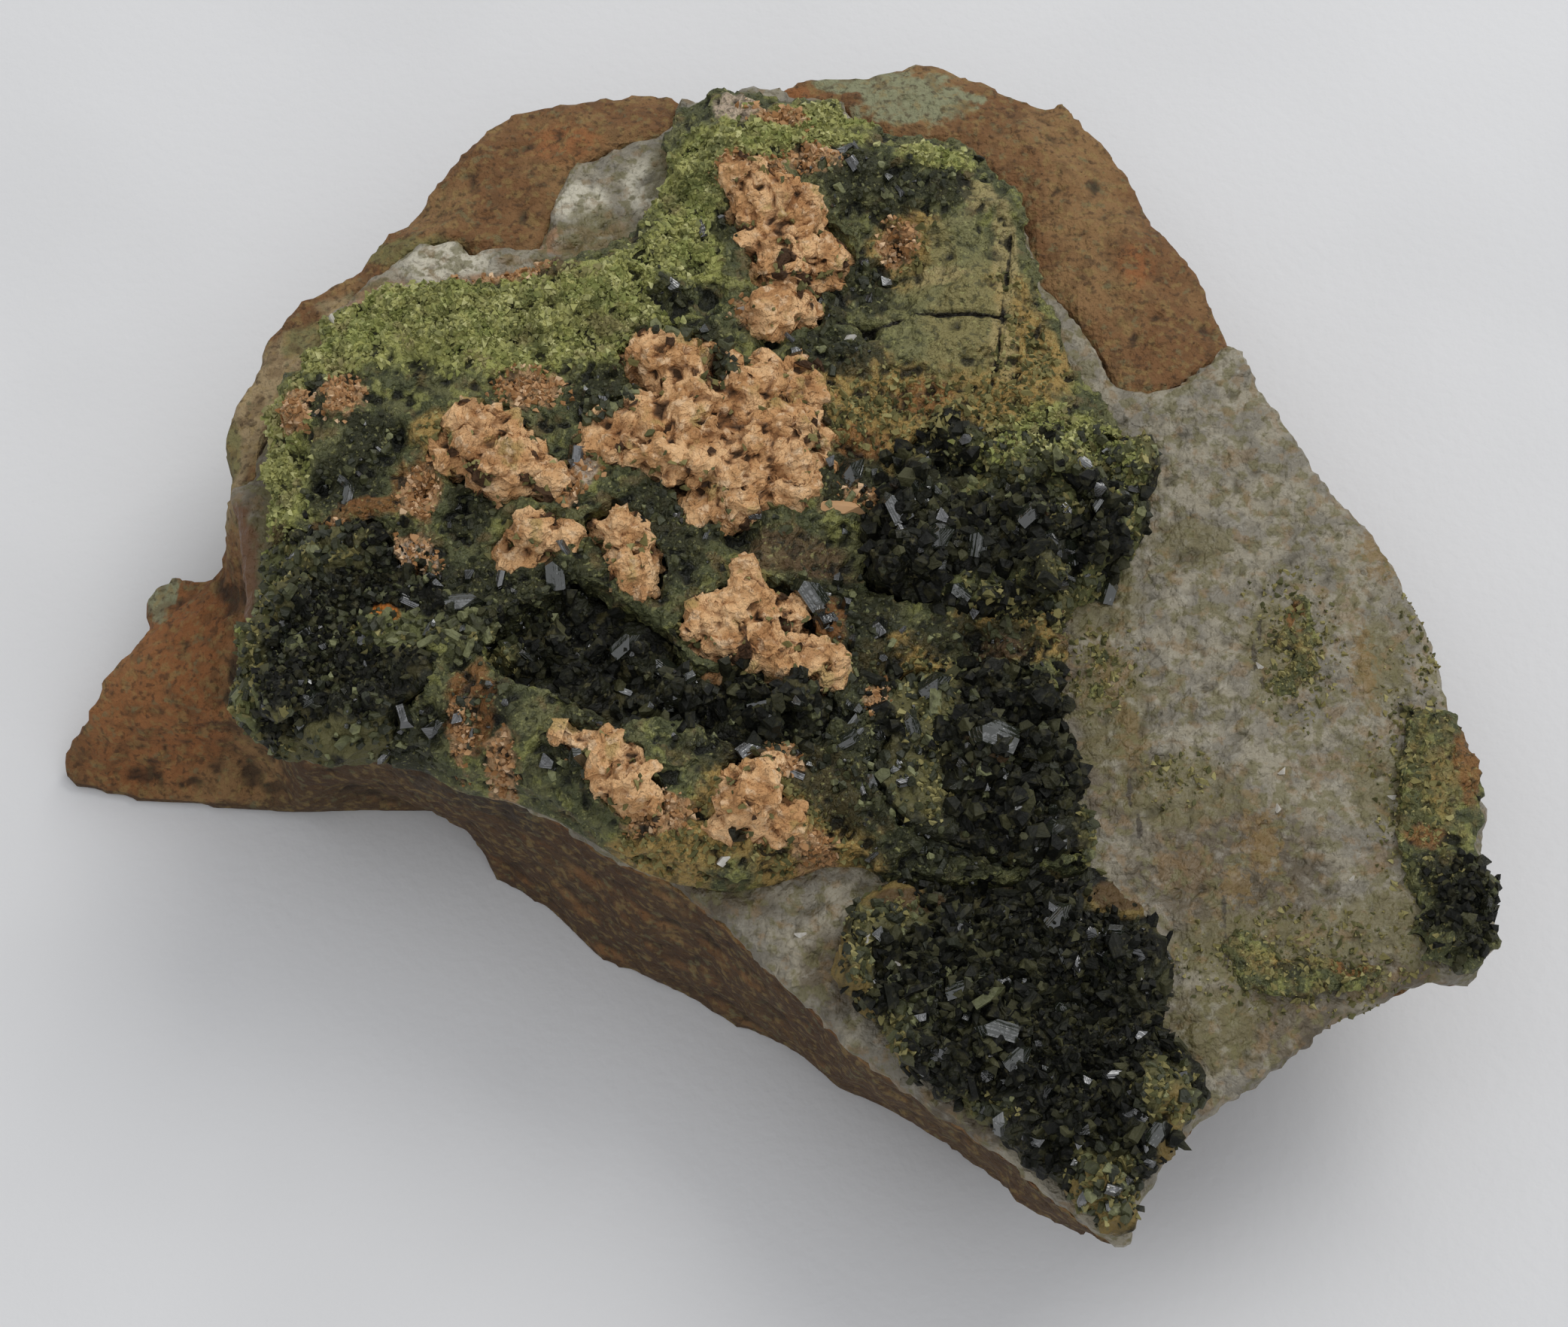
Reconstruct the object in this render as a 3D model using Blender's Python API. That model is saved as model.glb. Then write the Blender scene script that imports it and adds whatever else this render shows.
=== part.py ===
import math
import random

import bmesh
import bpy
from mathutils import Matrix, Vector, noise

# Driving dimensions, in millimetres until finished meshes are turned to metres.
# The specimen lies on its flattest side. X runs along the longest way, from the thin
# left arm to the right corner, and Y points away from the front face.
MILLIMETRE = 0.001
GAP = 0.3                       # clearance between minerals that touch
BED_LEVEL = 20.0                # flat vein surface of the host rock
QUARTZ_THICKNESS = 1.8
QUARTZ_FLOOR = BED_LEVEL + GAP
CRUST_FLOOR = QUARTZ_FLOOR + QUARTZ_THICKNESS + GAP
THIN_CRUST = 3.6                # epidote crust on the right
THICK_CRUST = 7.4               # epidote crust at the left and centre
BARE_ROCK_RISE = 1.5            # bare brown rock over the vein surface
ARM_ROOT_LEVEL = 14.0           # top of the left arm where it leaves the body
ARM_FALL = 0.30                 # fall of the arm's top for each millimetre outwards
ARM_ROOT_X = -38.0
SKY = 60.0                      # above everything, for cutters

# Distance between the corners of each mineral's facets
ROCK_SPACING = 4.2
ROCK_TOP_SPACING = 3.6
CRUST_SPACING = 3.05
QUARTZ_SPACING = 6.0
CRYSTAL_BASE_SPACING = 2.8
FELDSPAR_SPACING = 2.2
QUARTZ_PATCH_SPACING = 1.9
EDGE_SPACING = 2.8              # along the crust's broken edge
EDGE_RAGGEDNESS = 0.30

# Relief: rounding at the rims and height of the smaller lumps
ROCK_RIM_ROUNDING = 1.6
ROCK_LUMPS = 0.6
CRUST_LUMPS = 1.3
CRUST_KNOBS = 0.8
CRUST_RIM_SHARE = 0.50          # of the full thickness, left at the crust's edge
QUARTZ_WEAR = 0.9
FELDSPAR_KNOBS = 0.45

# Outlines in plan, anticlockwise
ROCK_OUTLINE = [
    (52, -25.3), (52.3, -22), (51.3, -18.6), (52.3, -14.2), (51, -9.8), (50, -6), (49.3, -1.7),
    (48.2, 1.4), (46.9, 5.4), (45.3, 8.2), (41.8, 12.6), (39.3, 18), (36, 24.4), (34.3, 29.4),
    (31.9, 34.8), (29.7, 38), (28, 41.8), (25.3, 46), (23.1, 49), (20.3, 49), (17.2, 50.4),
    (15.2, 51.6), (10.7, 52.8), (9.3, 52.2), (6.2, 51.2), (2, 51.2), (0, 49.4), (-3.6, 49),
    (-7.2, 47.8), (-9.6, 49.6), (-12, 50), (-17.2, 48.8), (-22.6, 47.8), (-24.9, 45.6),
    (-27.2, 42.3), (-30.2, 38), (-34, 32.6), (-38.9, 29.8), (-41.4, 26.8), (-41.5, 23.6),
    (-44.2, 17.6), (-43.2, 15), (-42.8, 13.2), (-43.6, 12.2), (-45.4, 9.7), (-48.4, 10.6),
    (-50.4, 10.2), (-51.2, 8.8), (-50.6, 6.6), (-52.3, 3.6), (-53.8, 2.4), (-54.7, 0.8),
    (-56.2, -0.2), (-58.5, -2.4), (-58.1, -3.7), (-55, -4.6), (-50.2, -5.5), (-41.8, -6.1),
    (-35, -7.4), (-28.3, -9.8), (-24, -12.1), (-19, -14.2), (-14, -17), (-10, -19.2),
    (-7.4, -21), (-4.2, -24), (0, -27.9), (5, -33.2), (10, -37), (15.2, -41), (19.4, -44.4),
    (23.2, -47.6), (24.7, -47.4), (25.2, -45), (26.2, -43), (28.1, -40.3), (31.4, -37.4),
    (34.9, -34.9), (39.6, -31.3), (44.4, -28.9), (47.2, -28), (50, -28.2),
]
# Where the vein surface is cut flat: bare rock is left at the upper left and upper right
BED_OUTLINE = [
    (70, 26), (35.5, 25.2), (33, 23), (31, 21.3), (28.5, 20.3), (26, 21), (25.3, 23),
    (24, 26), (22, 28.6), (20.3, 30.5), (19.6, 33.5), (19.2, 37), (17.8, 39),
    (16.5, 41), (14.5, 42.5), (12, 43.2), (9, 44), (6, 45.3), (4.6, 47.6), (0.3, 48.2),
    (-0.5, 70), (-8.5, 70), (-8.8, 46), (-9.8, 44), (-12.5, 43.8), (-16.8, 41.4),
    (-18.6, 37), (-19.2, 33.6), (-22, 33.4), (-25, 33.2), (-26.5, 34.6), (-30, 33.6),
    (-34, 29.6), (-36.5, 27), (-36, 22.5), (-39.5, 20), (-40.5, 17), (-41, 12.5),
    (-70, 12.5), (-70, -70), (70, -70),
]
ARM_OUTLINE = [
    (-27.5, -9.4), (-37, -9), (-40, -6), (-41, -2), (-41, 3), (-41.5, 8), (-43, 12.5),
    (-70, 14), (-70, -30), (-27.5, -30),
]
CRUST_OUTLINE = [
    (20.3, 29), (19.3, 33.5), (19, 36.5), (17.5, 38.8), (16, 40.8), (14.3, 42.2),
    (12, 42.6), (9, 43), (6, 44), (4.5, 45.2), (0, 46), (-3.5, 46.2), (-6, 45.2),
    (-8.3, 44.5), (-9.3, 41.5), (-9.5, 39), (-10, 35.6), (-12.5, 32), (-17, 29), (-22, 28),
    (-27, 27.6), (-31, 27), (-34, 25.8), (-35.4, 23.6), (-36.2, 21), (-38.8, 19),
    (-39.5, 16.4), (-39, 12), (-38.8, 7), (-38.6, 3), (-39, -1.2), (-40.3, -4.4),
    (-40.4, -7), (-39, -9.3), (-36.6, -11), (-33.6, -11.6), (-30.6, -11.4),
    (-26.7, -12), (-24.2, -13.6), (-19.8, -14.5), (-16.8, -16), (-13.8, -17.6),
    (-11, -19.6), (-8, -20.7), (-4, -21.5), (-1, -21), (3, -19.6), (6, -19.7),
    (8, -21), (13, -21.5), (18, -21), (22.3, -20.3), (22.5, -17), (21.5, -13),
    (20.5, -9), (20.3, -5.5), (21.5, -2.5), (20.5, 0.5), (22, 2), (25, 4), (26.7, 8),
    (27, 12), (26, 15.5), (24, 19), (22.5, 22), (21.5, 25.5),
]
LOWER_BED_OUTLINE = [
    (8.3, -21.6), (6.3, -22.8), (5.2, -24.8), (4.4, -27), (4.8, -29.6), (7, -32.6),
    (10.8, -36.4), (15.2, -40), (19.7, -43.6), (22.9, -46.8), (24.3, -46.7),
    (24.7, -44.6), (26.3, -41.8), (28.4, -39.4), (29.8, -37.4), (29.2, -35.5), (27.5, -33),
    (26.8, -30.5), (27.3, -28), (26.8, -25.5), (25, -23.3), (22.5, -21), (18, -21.7),
    (13, -22.2),
]
RIGHT_EDGE_OUTLINE = [
    (45.8, -6), (45.9, -10), (45.2, -14), (45.6, -20), (45.6, -24), (46.4, -27.2),
    (49.8, -27.6), (51.6, -26.2), (52, -24), (51.8, -20.8), (50.8, -18.8), (51.6, -16),
    (51.9, -13.8), (50.8, -10.4), (49.8, -7.4),
]
# Epidote crust: broad swells and hollows as x, y, radius and height
CRUST_SWELLS = [
    (-28, 24, 9, 1.2), (-15, 27, 8, 1.5), (-3, 36, 8, 1.6), (8, 35, 7, 0.8),
    (-4, 13, 9, 1.5), (-33, 13, 7, 1.0), (18, 9, 11, 2.2), (-10, -14, 8, 0.6),
    (0, -16, 5, 0.8), (-20, -11, 6, 1.0), (13, 27, 6, -1.3), (9, 19, 5, -1.0),
    (-24.5, 3.5, 3.6, -2.6), (-31, 9, 3.2, -2.2), (-7.5, 25.5, 3.2, -2.0),
    (5, 4, 3.6, -2.4), (15.5, -2.6, 3.4, -1.6), (7.5, 29, 3.0, -1.6),
    (-15, -13, 2.6, -1.8), (3.5, -14.5, 3.0, -1.6), (-37, 17, 2.4, 1.2),
    (-17, 17.5, 3.2, -1.6), (-33, 24, 3, 0.8),
]
# Beds of crystals in the crust. An open bed reaches past the crust's edge, a closed one is
# a hollow with a floor of its own.
CRYSTAL_BEDS = {
    "central_crystals": {
        "outline": [
            (-20, -2), (-21.8, -4.6), (-20, -7.8), (-16, -8.6), (-12.5, -10.6), (-7, -10.4),
            (-2, -12), (2.6, -10.4), (3.4, -8), (1.2, -7.2), (-1, -8), (-3.8, -6.2),
            (-6.6, -6.6), (-8.8, -4), (-10, -2.4), (-13.5, -0.6), (-16, 0.8), (-18, -1.2),
        ],
        "floor": 24.8, "base": 1.4, "count": 12, "length": (4.0, 6.6), "width": (2.4, 4.0),
        "lean": 55, "seed": 11,
    },
    "left_crystals": {
        "outline": [
            (-40.6, -0.6), (-41.4, -5), (-41.2, -9), (-39, -11.6), (-36, -12.6), (-30, -12.4),
            (-28.6, -9.6), (-26.2, -7), (-26.8, -4), (-24.8, -2), (-26.6, 1.4), (-29, 2),
            (-30.4, 4.4), (-34, 4), (-36.6, 5.4), (-40, 4.6),
        ],
        "floor": CRUST_FLOOR, "drop": 1.8, "count": 15, "length": (5.0, 7.6),
        "width": (2.4, 4.2), "lean": 50, "seed": 23, "foot": 3.0,
    },
    "upper_right_crystals": {
        "outline": [
            (6.2, 3), (9, 0.4), (12.6, 1.4), (16, -0.6), (19.4, 0), (24, 0.9), (27.2, 5),
            (27.5, 12), (26.4, 14.6), (22, 13), (19, 14.8), (15.6, 13.6), (12.4, 15.4),
            (9.6, 13), (9.8, 10), (7, 8),
        ],
        "floor": CRUST_FLOOR, "drop": 1.6, "count": 17, "length": (4.4, 7.0),
        "width": (2.6, 4.4), "lean": 50, "seed": 37, "foot": 1.6,
    },
    "middle_crystals": {
        "outline": [
            (9, -5.4), (7.4, -9), (8.4, -11), (6.4, -13.5), (8.6, -17.4), (12, -18.2),
            (16, -20.2), (20, -19), (25, -18), (24, -12), (22.6, -7.6), (19.6, -6.6),
            (16.4, -4.4), (12.6, -5.8),
        ],
        "floor": CRUST_FLOOR, "drop": 0.9, "count": 15, "length": (3.8, 5.8),
        "width": (2.4, 4.0), "lean": 50, "seed": 41, "foot": 0.6,
    },
}
LOWER_BED = {
    "outline": LOWER_BED_OUTLINE, "floor": CRUST_FLOOR, "base": 2.0, "count": 22,
    "length": (3.8, 6.0), "width": (2.6, 4.4), "lean": 55, "seed": 53,
}
CORNER_OUTLINE = [
    (47, -19.6), (46.6, -23), (46.8, -26.4), (49.8, -27), (51.2, -25.8), (51.6, -23.6),
    (51.4, -20.8), (50.4, -18.6),
]
RIGHT_EDGE = {
    "outline": RIGHT_EDGE_OUTLINE, "crystals": CORNER_OUTLINE, "floor": CRUST_FLOOR,
    "base": 1.5, "count": 8, "length": (3.2, 4.6), "width": (2.2, 3.6), "lean": 45, "seed": 67,
}
# Iron-stained feldspar in the crust: outlines in plan
FELDSPAR_PATCHES = {
    "feldspar_centre": [
        (-12.7, 19.2), (-9.8, 16.6), (-13.2, 14.7), (-14.6, 11.7), (-10.7, 9.7), (-7.8, 8.7),
        (-6.8, 5.7), (-2, 7.2), (1.5, 8.7), (2.9, 11.7), (2.4, 16.7), (1, 20.2),
        (-3.9, 18.2), (-5.4, 20.7), (-8.8, 21.7),
    ],
    "feldspar_upper": [
        (-4.4, 36.4), (-4.2, 32.8), (-2.4, 30.2), (-1.4, 26.2), (-2.2, 24), (0, 22.8),
        (2.8, 24.2), (2.6, 27), (4.4, 28.8), (5, 31.2), (2.2, 34), (-1, 36.4),
    ],
    "feldspar_left": [
        (-25.4, 12.7), (-26.3, 10.7), (-23.4, 9.2), (-20.5, 7.7), (-17.6, 7.7),
        (-16.6, 8.7), (-18, 10.7), (-20.5, 13.7), (-23.4, 15.2),
    ],
    "feldspar_left_small": [
        (-21.5, 3.7), (-20.5, 2.3), (-17.6, 2.3), (-16.1, 4.2), (-17.1, 6.2), (-19.5, 5.7),
    ],
    "feldspar_diagonal": [
        (-14.6, 5.2), (-13.2, 3.2), (-11.7, 0.9), (-9.3, -0.3), (-9.1, 2.7), (-10.7, 4.2),
        (-12.7, 6.4),
    ],
    "feldspar_lower_centre": [
        (-7.3, -3.3), (-6.1, -4.9), (-3.7, -4.7), (-1, -6.3), (1.2, -6.2), (3.2, -7.2),
        (3.8, -5.6), (2, -2.4), (0.4, 0.6), (-2.6, 1.9), (-5.1, -0.4),
    ],
    "feldspar_bottom": [
        (-16.4, -11.6), (-14.4, -14), (-12.6, -16.6), (-10.6, -17.9), (-8.9, -17.6),
        (-9.6, -15.8), (-10.4, -13.6), (-12.8, -12),
    ],
    "feldspar_bottom_right": [
        (-4.2, -14.2), (-4.6, -18), (-1, -19.2), (0.8, -17.6), (-0.8, -15.8), (-1.3, -13.6),
    ],
}
FELDSPAR_DEPTH = 2.2
FELDSPAR_PROUD = 0.9
# Patches of epidote left on the bare quartz
QUARTZ_PATCHES = {
    "epidote_patch_upper": [
        (36.5, -0.5), (37, -2.7), (36.6, -5.2), (38.8, -6), (40.4, -3), (40.6, 1),
        (39, 2.6),
    ],
    "epidote_patch_inner": [
        (22.6, -6.4), (24.4, -6.2), (25.2, -4), (24.6, -1), (22.8, -1.4),
    ],
    "epidote_patch_lower": [
        (31.4, -24.6), (31.6, -27), (33, -29), (38, -29.4), (42.8, -28.6), (43.4, -27.2),
        (38, -26.6), (34, -25.2),
    ],
}
# How far the underside draws in from the outline: bearing in degrees and the share of the
# radius left at the base
UNDERCUT = [
    (0, 0.70), (45, 0.80), (90, 0.87), (135, 0.88), (160, 0.90), (176, 0.97), (188, 1.00),
    (190, 0.88), (192, 0.76), (199, 0.86), (207, 0.97), (213, 1.00), (238, 1.06),
    (262, 1.00), (278, 0.87), (290, 0.82), (300, 0.74), (325, 0.66), (340, 0.66), (360, 0.70),
]
# Height of the sharp rim, below which the sides draw in: bearing in degrees and level
RIM = [
    (0, 18.5), (40, 17), (90, 13), (140, 12), (158, 11.5), (164, 8.6), (172, 6.8), (180, 4.4),
    (184, 1.4), (188, 1.4), (190, 3), (192, 10), (199, 15), (212, 19), (262, 19), (285, 19.5), (300, 20), (340, 20),
    (360, 18.5),
]
ROCK_SIDE_ROWS = 5
ROCK_ROUGHNESS = 1.1
ROUGH_RIM_LEVEL = 8.0           # sides under a lower rim are smoother
# Flat breaks around the underside: bearing, lean outwards, and distance at the base
ROCK_BREAKS = [
    (5, 46, 31.5), (35, 36, 33.5), (75, 40, 41.5), (115, 41, 40.5), (320, 52, 34.0),
]
# The left arm's front side slopes down to a thin edge: the line of the edge, its level, and
# the slope's width at the tip and its growth towards the body
ARM_EDGE = ((-58.0, -2.6), (-41.0, -6.4))
ARM_EDGE_LEVEL = 1.2
ARM_SLOPE_WIDTH = 3.0
ARM_SLOPE_GROWTH = 0.22
MINERALS = {
    "host_rock": (0.150, 0.083, 0.045),
    "quartz": (0.230, 0.215, 0.165),
    "epidote_crust": (0.100, 0.110, 0.040),
    "epidote_crystals": (0.020, 0.028, 0.018),
    "feldspar": (0.330, 0.170, 0.085),
}


def smooth(value):
    share = min(1.0, max(0.0, value))
    return share * share * (3.0 - 2.0 * share)


def at_bearing(table, bearing):
    """Value of a bearing table, in straight steps between its entries."""
    for (low, first), (high, second) in zip(table, table[1:]):
        if low <= bearing <= high:
            return first + (second - first) * (bearing - low) / (high - low)
    return table[0][1]


def lump(x, y, size, seed=0.0):
    """Smooth seeded noise from about -1 to 1 with lumps of a size."""
    return noise.fractal(Vector((x / size, y / size, seed)), 1.0, 2.0, 3)


def is_inside(x, y, outline):
    found = False
    for (x1, y1), (x2, y2) in zip(outline, outline[1:] + outline[:1]):
        if (y1 > y) != (y2 > y) and x < (x2 - x1) * (y - y1) / (y2 - y1) + x1:
            found = not found
    return found


def depth_inside(x, y, outline):
    """Distance to the outline, positive inside it."""
    nearest = 1e9
    for (x1, y1), (x2, y2) in zip(outline, outline[1:] + outline[:1]):
        along = ((x - x1) * (x2 - x1) + (y - y1) * (y2 - y1)) / ((x2 - x1) ** 2 + (y2 - y1) ** 2)
        along = min(1.0, max(0.0, along))
        away = math.hypot(x - x1 - along * (x2 - x1), y - y1 - along * (y2 - y1))
        nearest = min(nearest, away)
    return nearest if is_inside(x, y, outline) else -nearest


def grown(outline, distance):
    """The outline moved outwards by a distance, or inwards by a negative one."""
    moved = []
    count = len(outline)
    for index, (x, y) in enumerate(outline):
        before = Vector(outline[index - 1])
        here = Vector((x, y))
        after = Vector(outline[(index + 1) % count])
        first = (here - before).normalized()
        second = (after - here).normalized()
        middle = Vector((first.y + second.y, -first.x - second.x)).normalized()
        reach = distance / max(0.5, middle.dot(Vector((first.y, -first.x))))
        moved.append((x + middle.x * reach, y + middle.y * reach))
    return moved


def ragged(outline, spacing, depth, seed):
    """The outline with points at a spacing, pushed in and out to a depth like a broken edge."""
    points = []
    for (x1, y1), (x2, y2) in zip(outline, outline[1:] + outline[:1]):
        steps = max(1, round(math.hypot(x2 - x1, y2 - y1) / spacing))
        for step in range(steps):
            x = x1 + (x2 - x1) * step / steps
            y = y1 + (y2 - y1) * step / steps
            points.append((x + depth * lump(x, y, 3.0, seed), y + depth * lump(x, y, 3.0, seed + 9)))
    return points


def to_object(bm, name, collection, material=None):
    bmesh.ops.recalc_face_normals(bm, faces=bm.faces[:])
    bm.transform(Matrix.Scale(MILLIMETRE, 4))
    mesh = bpy.data.meshes.new(name)
    bm.to_mesh(mesh)
    bm.free()
    made = bpy.data.objects.new(name, mesh)
    collection.objects.link(made)
    if material:
        mesh.materials.append(material)
    return made


def to_cutter(bm, name, group=None):
    made = to_object(bm, name, group or cutters)
    made.hide_render = True
    made.display_type = "WIRE"
    return made


def add_prism(bm, outline, low, high):
    """A closed block with the outline in plan."""
    ring = [bm.verts.new((x, y, low)) for x, y in outline]
    face = bm.faces.new(ring)
    raised = bmesh.ops.extrude_face_region(bm, geom=[face])["geom"]
    for part in raised:
        if isinstance(part, bmesh.types.BMVert):
            part.co.z = high


def cut_flat(bm, point, outwards):
    """Cuts off what lies beyond a plane and closes the cut."""
    bmesh.ops.bisect_plane(
        bm, geom=bm.verts[:] + bm.edges[:] + bm.faces[:], plane_co=point,
        plane_no=outwards, clear_outer=True,
    )
    bmesh.ops.holes_fill(bm, edges=[edge for edge in bm.edges if edge.is_boundary], sides=0)


def prism_cutter(name, outlines, low, high=SKY):
    bm = bmesh.new()
    for outline in outlines:
        add_prism(bm, outline, low, high)
    return to_cutter(bm, name)


def relief_block(outline, spacing, floor, top, seed):
    """A block over the outline's box, flat below and shaped above by the function top."""
    low_x = min(x for x, y in outline) - spacing
    low_y = min(y for x, y in outline) - spacing
    wide = max(x for x, y in outline) + spacing - low_x
    deep = max(y for x, y in outline) + spacing - low_y
    bm = bmesh.new()
    bmesh.ops.create_grid(
        bm, x_segments=round(wide / spacing), y_segments=round(deep / spacing), size=0.5
    )
    shaker = random.Random(seed)
    for vert in bm.verts:
        on_rim = max(abs(vert.co.x), abs(vert.co.y)) > 0.499
        shake = 0.0 if on_rim else 0.28 * spacing
        x = low_x + (vert.co.x + 0.5) * wide + shaker.uniform(-shake, shake)
        y = low_y + (vert.co.y + 0.5) * deep + shaker.uniform(-shake, shake)
        vert.co = (x, y, top(x, y))
    bmesh.ops.triangulate(bm, faces=bm.faces[:])
    rim = [edge for edge in bm.edges if edge.is_boundary]
    walls = bmesh.ops.extrude_edge_only(bm, edges=rim)["geom"]
    for part in walls:
        if isinstance(part, bmesh.types.BMVert):
            part.co.z = floor
    bmesh.ops.holes_fill(bm, edges=[edge for edge in bm.edges if edge.is_boundary], sides=0)
    return bm


def add_boolean(target, operation, cutter):
    step = target.modifiers.new(cutter.name, "BOOLEAN")
    step.operation = operation
    step.object = cutter


def add_group_union(target, group):
    """Joins every object of a collection to the target."""
    step = target.modifiers.new(group.name, "BOOLEAN")
    step.operation = "UNION"
    step.operand_type = "COLLECTION"
    step.collection = group


def add_flat_merge(target):
    """Joins triangles that lie in one plane."""
    step = target.modifiers.new("flat faces", "DECIMATE")
    step.decimate_type = "DISSOLVE"
    step.angle_limit = math.radians(0.6)


def mineral_material(name, mineral, roughness):
    material = bpy.data.materials.new(name)
    material.use_nodes = True
    shader = material.node_tree.nodes["Principled BSDF"]
    shader.inputs["Base Color"].default_value = (*MINERALS[mineral], 1.0)
    shader.inputs["Roughness"].default_value = roughness
    shader.inputs["Metallic"].default_value = 0.0
    return material


def crust_top(x, y):
    """Level of the epidote crust: thick in the west, with swells, hollows and rounded rims."""
    west = smooth((12.0 - x) / 30.0)
    thickness = THIN_CRUST + (THICK_CRUST - THIN_CRUST) * west
    for swell_x, swell_y, radius, height in CRUST_SWELLS:
        away = math.hypot(x - swell_x, y - swell_y) / radius
        thickness += height * math.exp(-1.6 * away * away)
    thickness += CRUST_LUMPS * lump(x, y, 9.0, 3.0) + CRUST_KNOBS * lump(x, y, 3.6, 7.0)
    inwards = smooth((depth_inside(x, y, CRUST_OUTLINE) + 0.6) / 4.0)
    thickness *= CRUST_RIM_SHARE + (1.0 - CRUST_RIM_SHARE) * inwards
    return CRUST_FLOOR + max(1.2, thickness)


def rock_top(x, y):
    """Level of the host rock: the arm, the bare brown rock, and waste over the vein surface."""
    depth = depth_inside(x, y, ROCK_OUTLINE)
    if is_inside(x, y, ARM_OUTLINE):
        fall = ARM_FALL * max(0.0, ARM_ROOT_X - x)
        rounding = ROCK_RIM_ROUNDING * (1.0 - smooth(depth / 3.0))
        level = ARM_ROOT_LEVEL - fall - rounding + ROCK_LUMPS * lump(x, y, 5.0, 1.0)
        (tip_x, tip_y), (root_x, root_y) = ARM_EDGE
        edge_y = tip_y + (root_y - tip_y) * (x - tip_x) / (root_x - tip_x)
        width = ARM_SLOPE_WIDTH + ARM_SLOPE_GROWTH * max(0.0, x - tip_x)
        return ARM_EDGE_LEVEL + (level - ARM_EDGE_LEVEL) * smooth((y - edge_y) / width)
    if is_inside(x, y, BED_OUTLINE):
        return BED_LEVEL + BARE_ROCK_RISE
    rounding = ROCK_RIM_ROUNDING * (1.0 - smooth(depth / 4.0))
    return BED_LEVEL + BARE_ROCK_RISE - rounding + ROCK_LUMPS * lump(x, y, 6.0, 5.0)


def quartz_top(x, y):
    """Level of the quartz sheet: flat under the crust, worn down towards the broken edge."""
    top = CRUST_FLOOR - GAP
    if depth_inside(x, y, CRUST_OUTLINE) > -2.0:
        return top
    worn = 1.0 - smooth(depth_inside(x, y, ROCK_OUTLINE) / 3.0)
    return top - QUARTZ_WEAR * worn - 0.25 * abs(lump(x, y, 6.0, 2.0))


def make_host_rock():
    rim = ragged(ROCK_OUTLINE, ROCK_SPACING, 0.45, 4.0)
    bm = bmesh.new()
    rows = []
    for row in range(ROCK_SIDE_ROWS + 1):
        rise = row / ROCK_SIDE_ROWS
        ring = []
        for x, y in rim:
            bearing = math.degrees(math.atan2(y, x)) % 360.0
            share = at_bearing(UNDERCUT, bearing)
            level = at_bearing(RIM, bearing)
            bulge = math.sin(rise * math.pi) * (0.01 + 0.03 * lump(x, y, 14.0, 6.0))
            reach = share + (1.0 - share) * rise + bulge
            calm = 1.0 if row < ROCK_SIDE_ROWS else 0.0
            rough = ROCK_ROUGHNESS * calm * min(1.0, level / ROUGH_RIM_LEVEL)
            point = Vector((x * reach, y * reach, level * rise))
            shift = noise.noise_vector(point / 5.0) * rough
            if row == 0:
                shift.z = 0.0
            ring.append(bm.verts.new(point + shift))
        rows.append(ring)
    rows.append([bm.verts.new((x, y, BED_LEVEL + 8.0)) for x, y in rim])
    count = len(rim)
    for lower, upper in zip(rows, rows[1:]):
        for index in range(count):
            after = (index + 1) % count
            bm.faces.new((lower[index], lower[after], upper[after], upper[index]))
    bm.faces.new(rows[0][::-1])
    bm.faces.new(rows[-1])
    bmesh.ops.triangulate(bm, faces=[face for face in bm.faces if len(face.verts) == 4])
    for bearing, lean, distance in ROCK_BREAKS:
        turn = Matrix.Rotation(math.radians(bearing), 3, "Z")
        outwards = turn @ Vector((math.cos(math.radians(lean)), 0, -math.sin(math.radians(lean))))
        cut_flat(bm, turn @ Vector((distance, 0, 0)), outwards)
    rock = to_object(bm, "host_rock", specimen, mineral_material("brown stone", "host_rock", 0.8))
    ground = relief_block(ROCK_OUTLINE, ROCK_TOP_SPACING, -5.0, rock_top, 81)
    add_boolean(rock, "INTERSECT", to_cutter(ground, "rock_relief"))
    add_boolean(rock, "DIFFERENCE", prism_cutter("vein_bed", [BED_OUTLINE], BED_LEVEL))
    add_flat_merge(rock)
    return rock


def make_quartz():
    bm = relief_block(ROCK_OUTLINE, QUARTZ_SPACING, QUARTZ_FLOOR, quartz_top, 82)
    quartz = to_object(bm, "quartz_layer", specimen, mineral_material("vein quartz", "quartz", 0.45))
    edge = ragged(grown(ROCK_OUTLINE, -0.35), ROCK_SPACING, 0.35, 4.0)
    add_boolean(quartz, "INTERSECT", prism_cutter("quartz_edge", [edge], 0.0))
    add_boolean(quartz, "INTERSECT", prism_cutter("quartz_bed", [grown(BED_OUTLINE, -GAP)], 0.0))
    add_boolean(quartz, "DIFFERENCE", prism_cutter("arm_step", [grown(ARM_OUTLINE, GAP)], 0.0))
    add_flat_merge(quartz)
    return quartz


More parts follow.
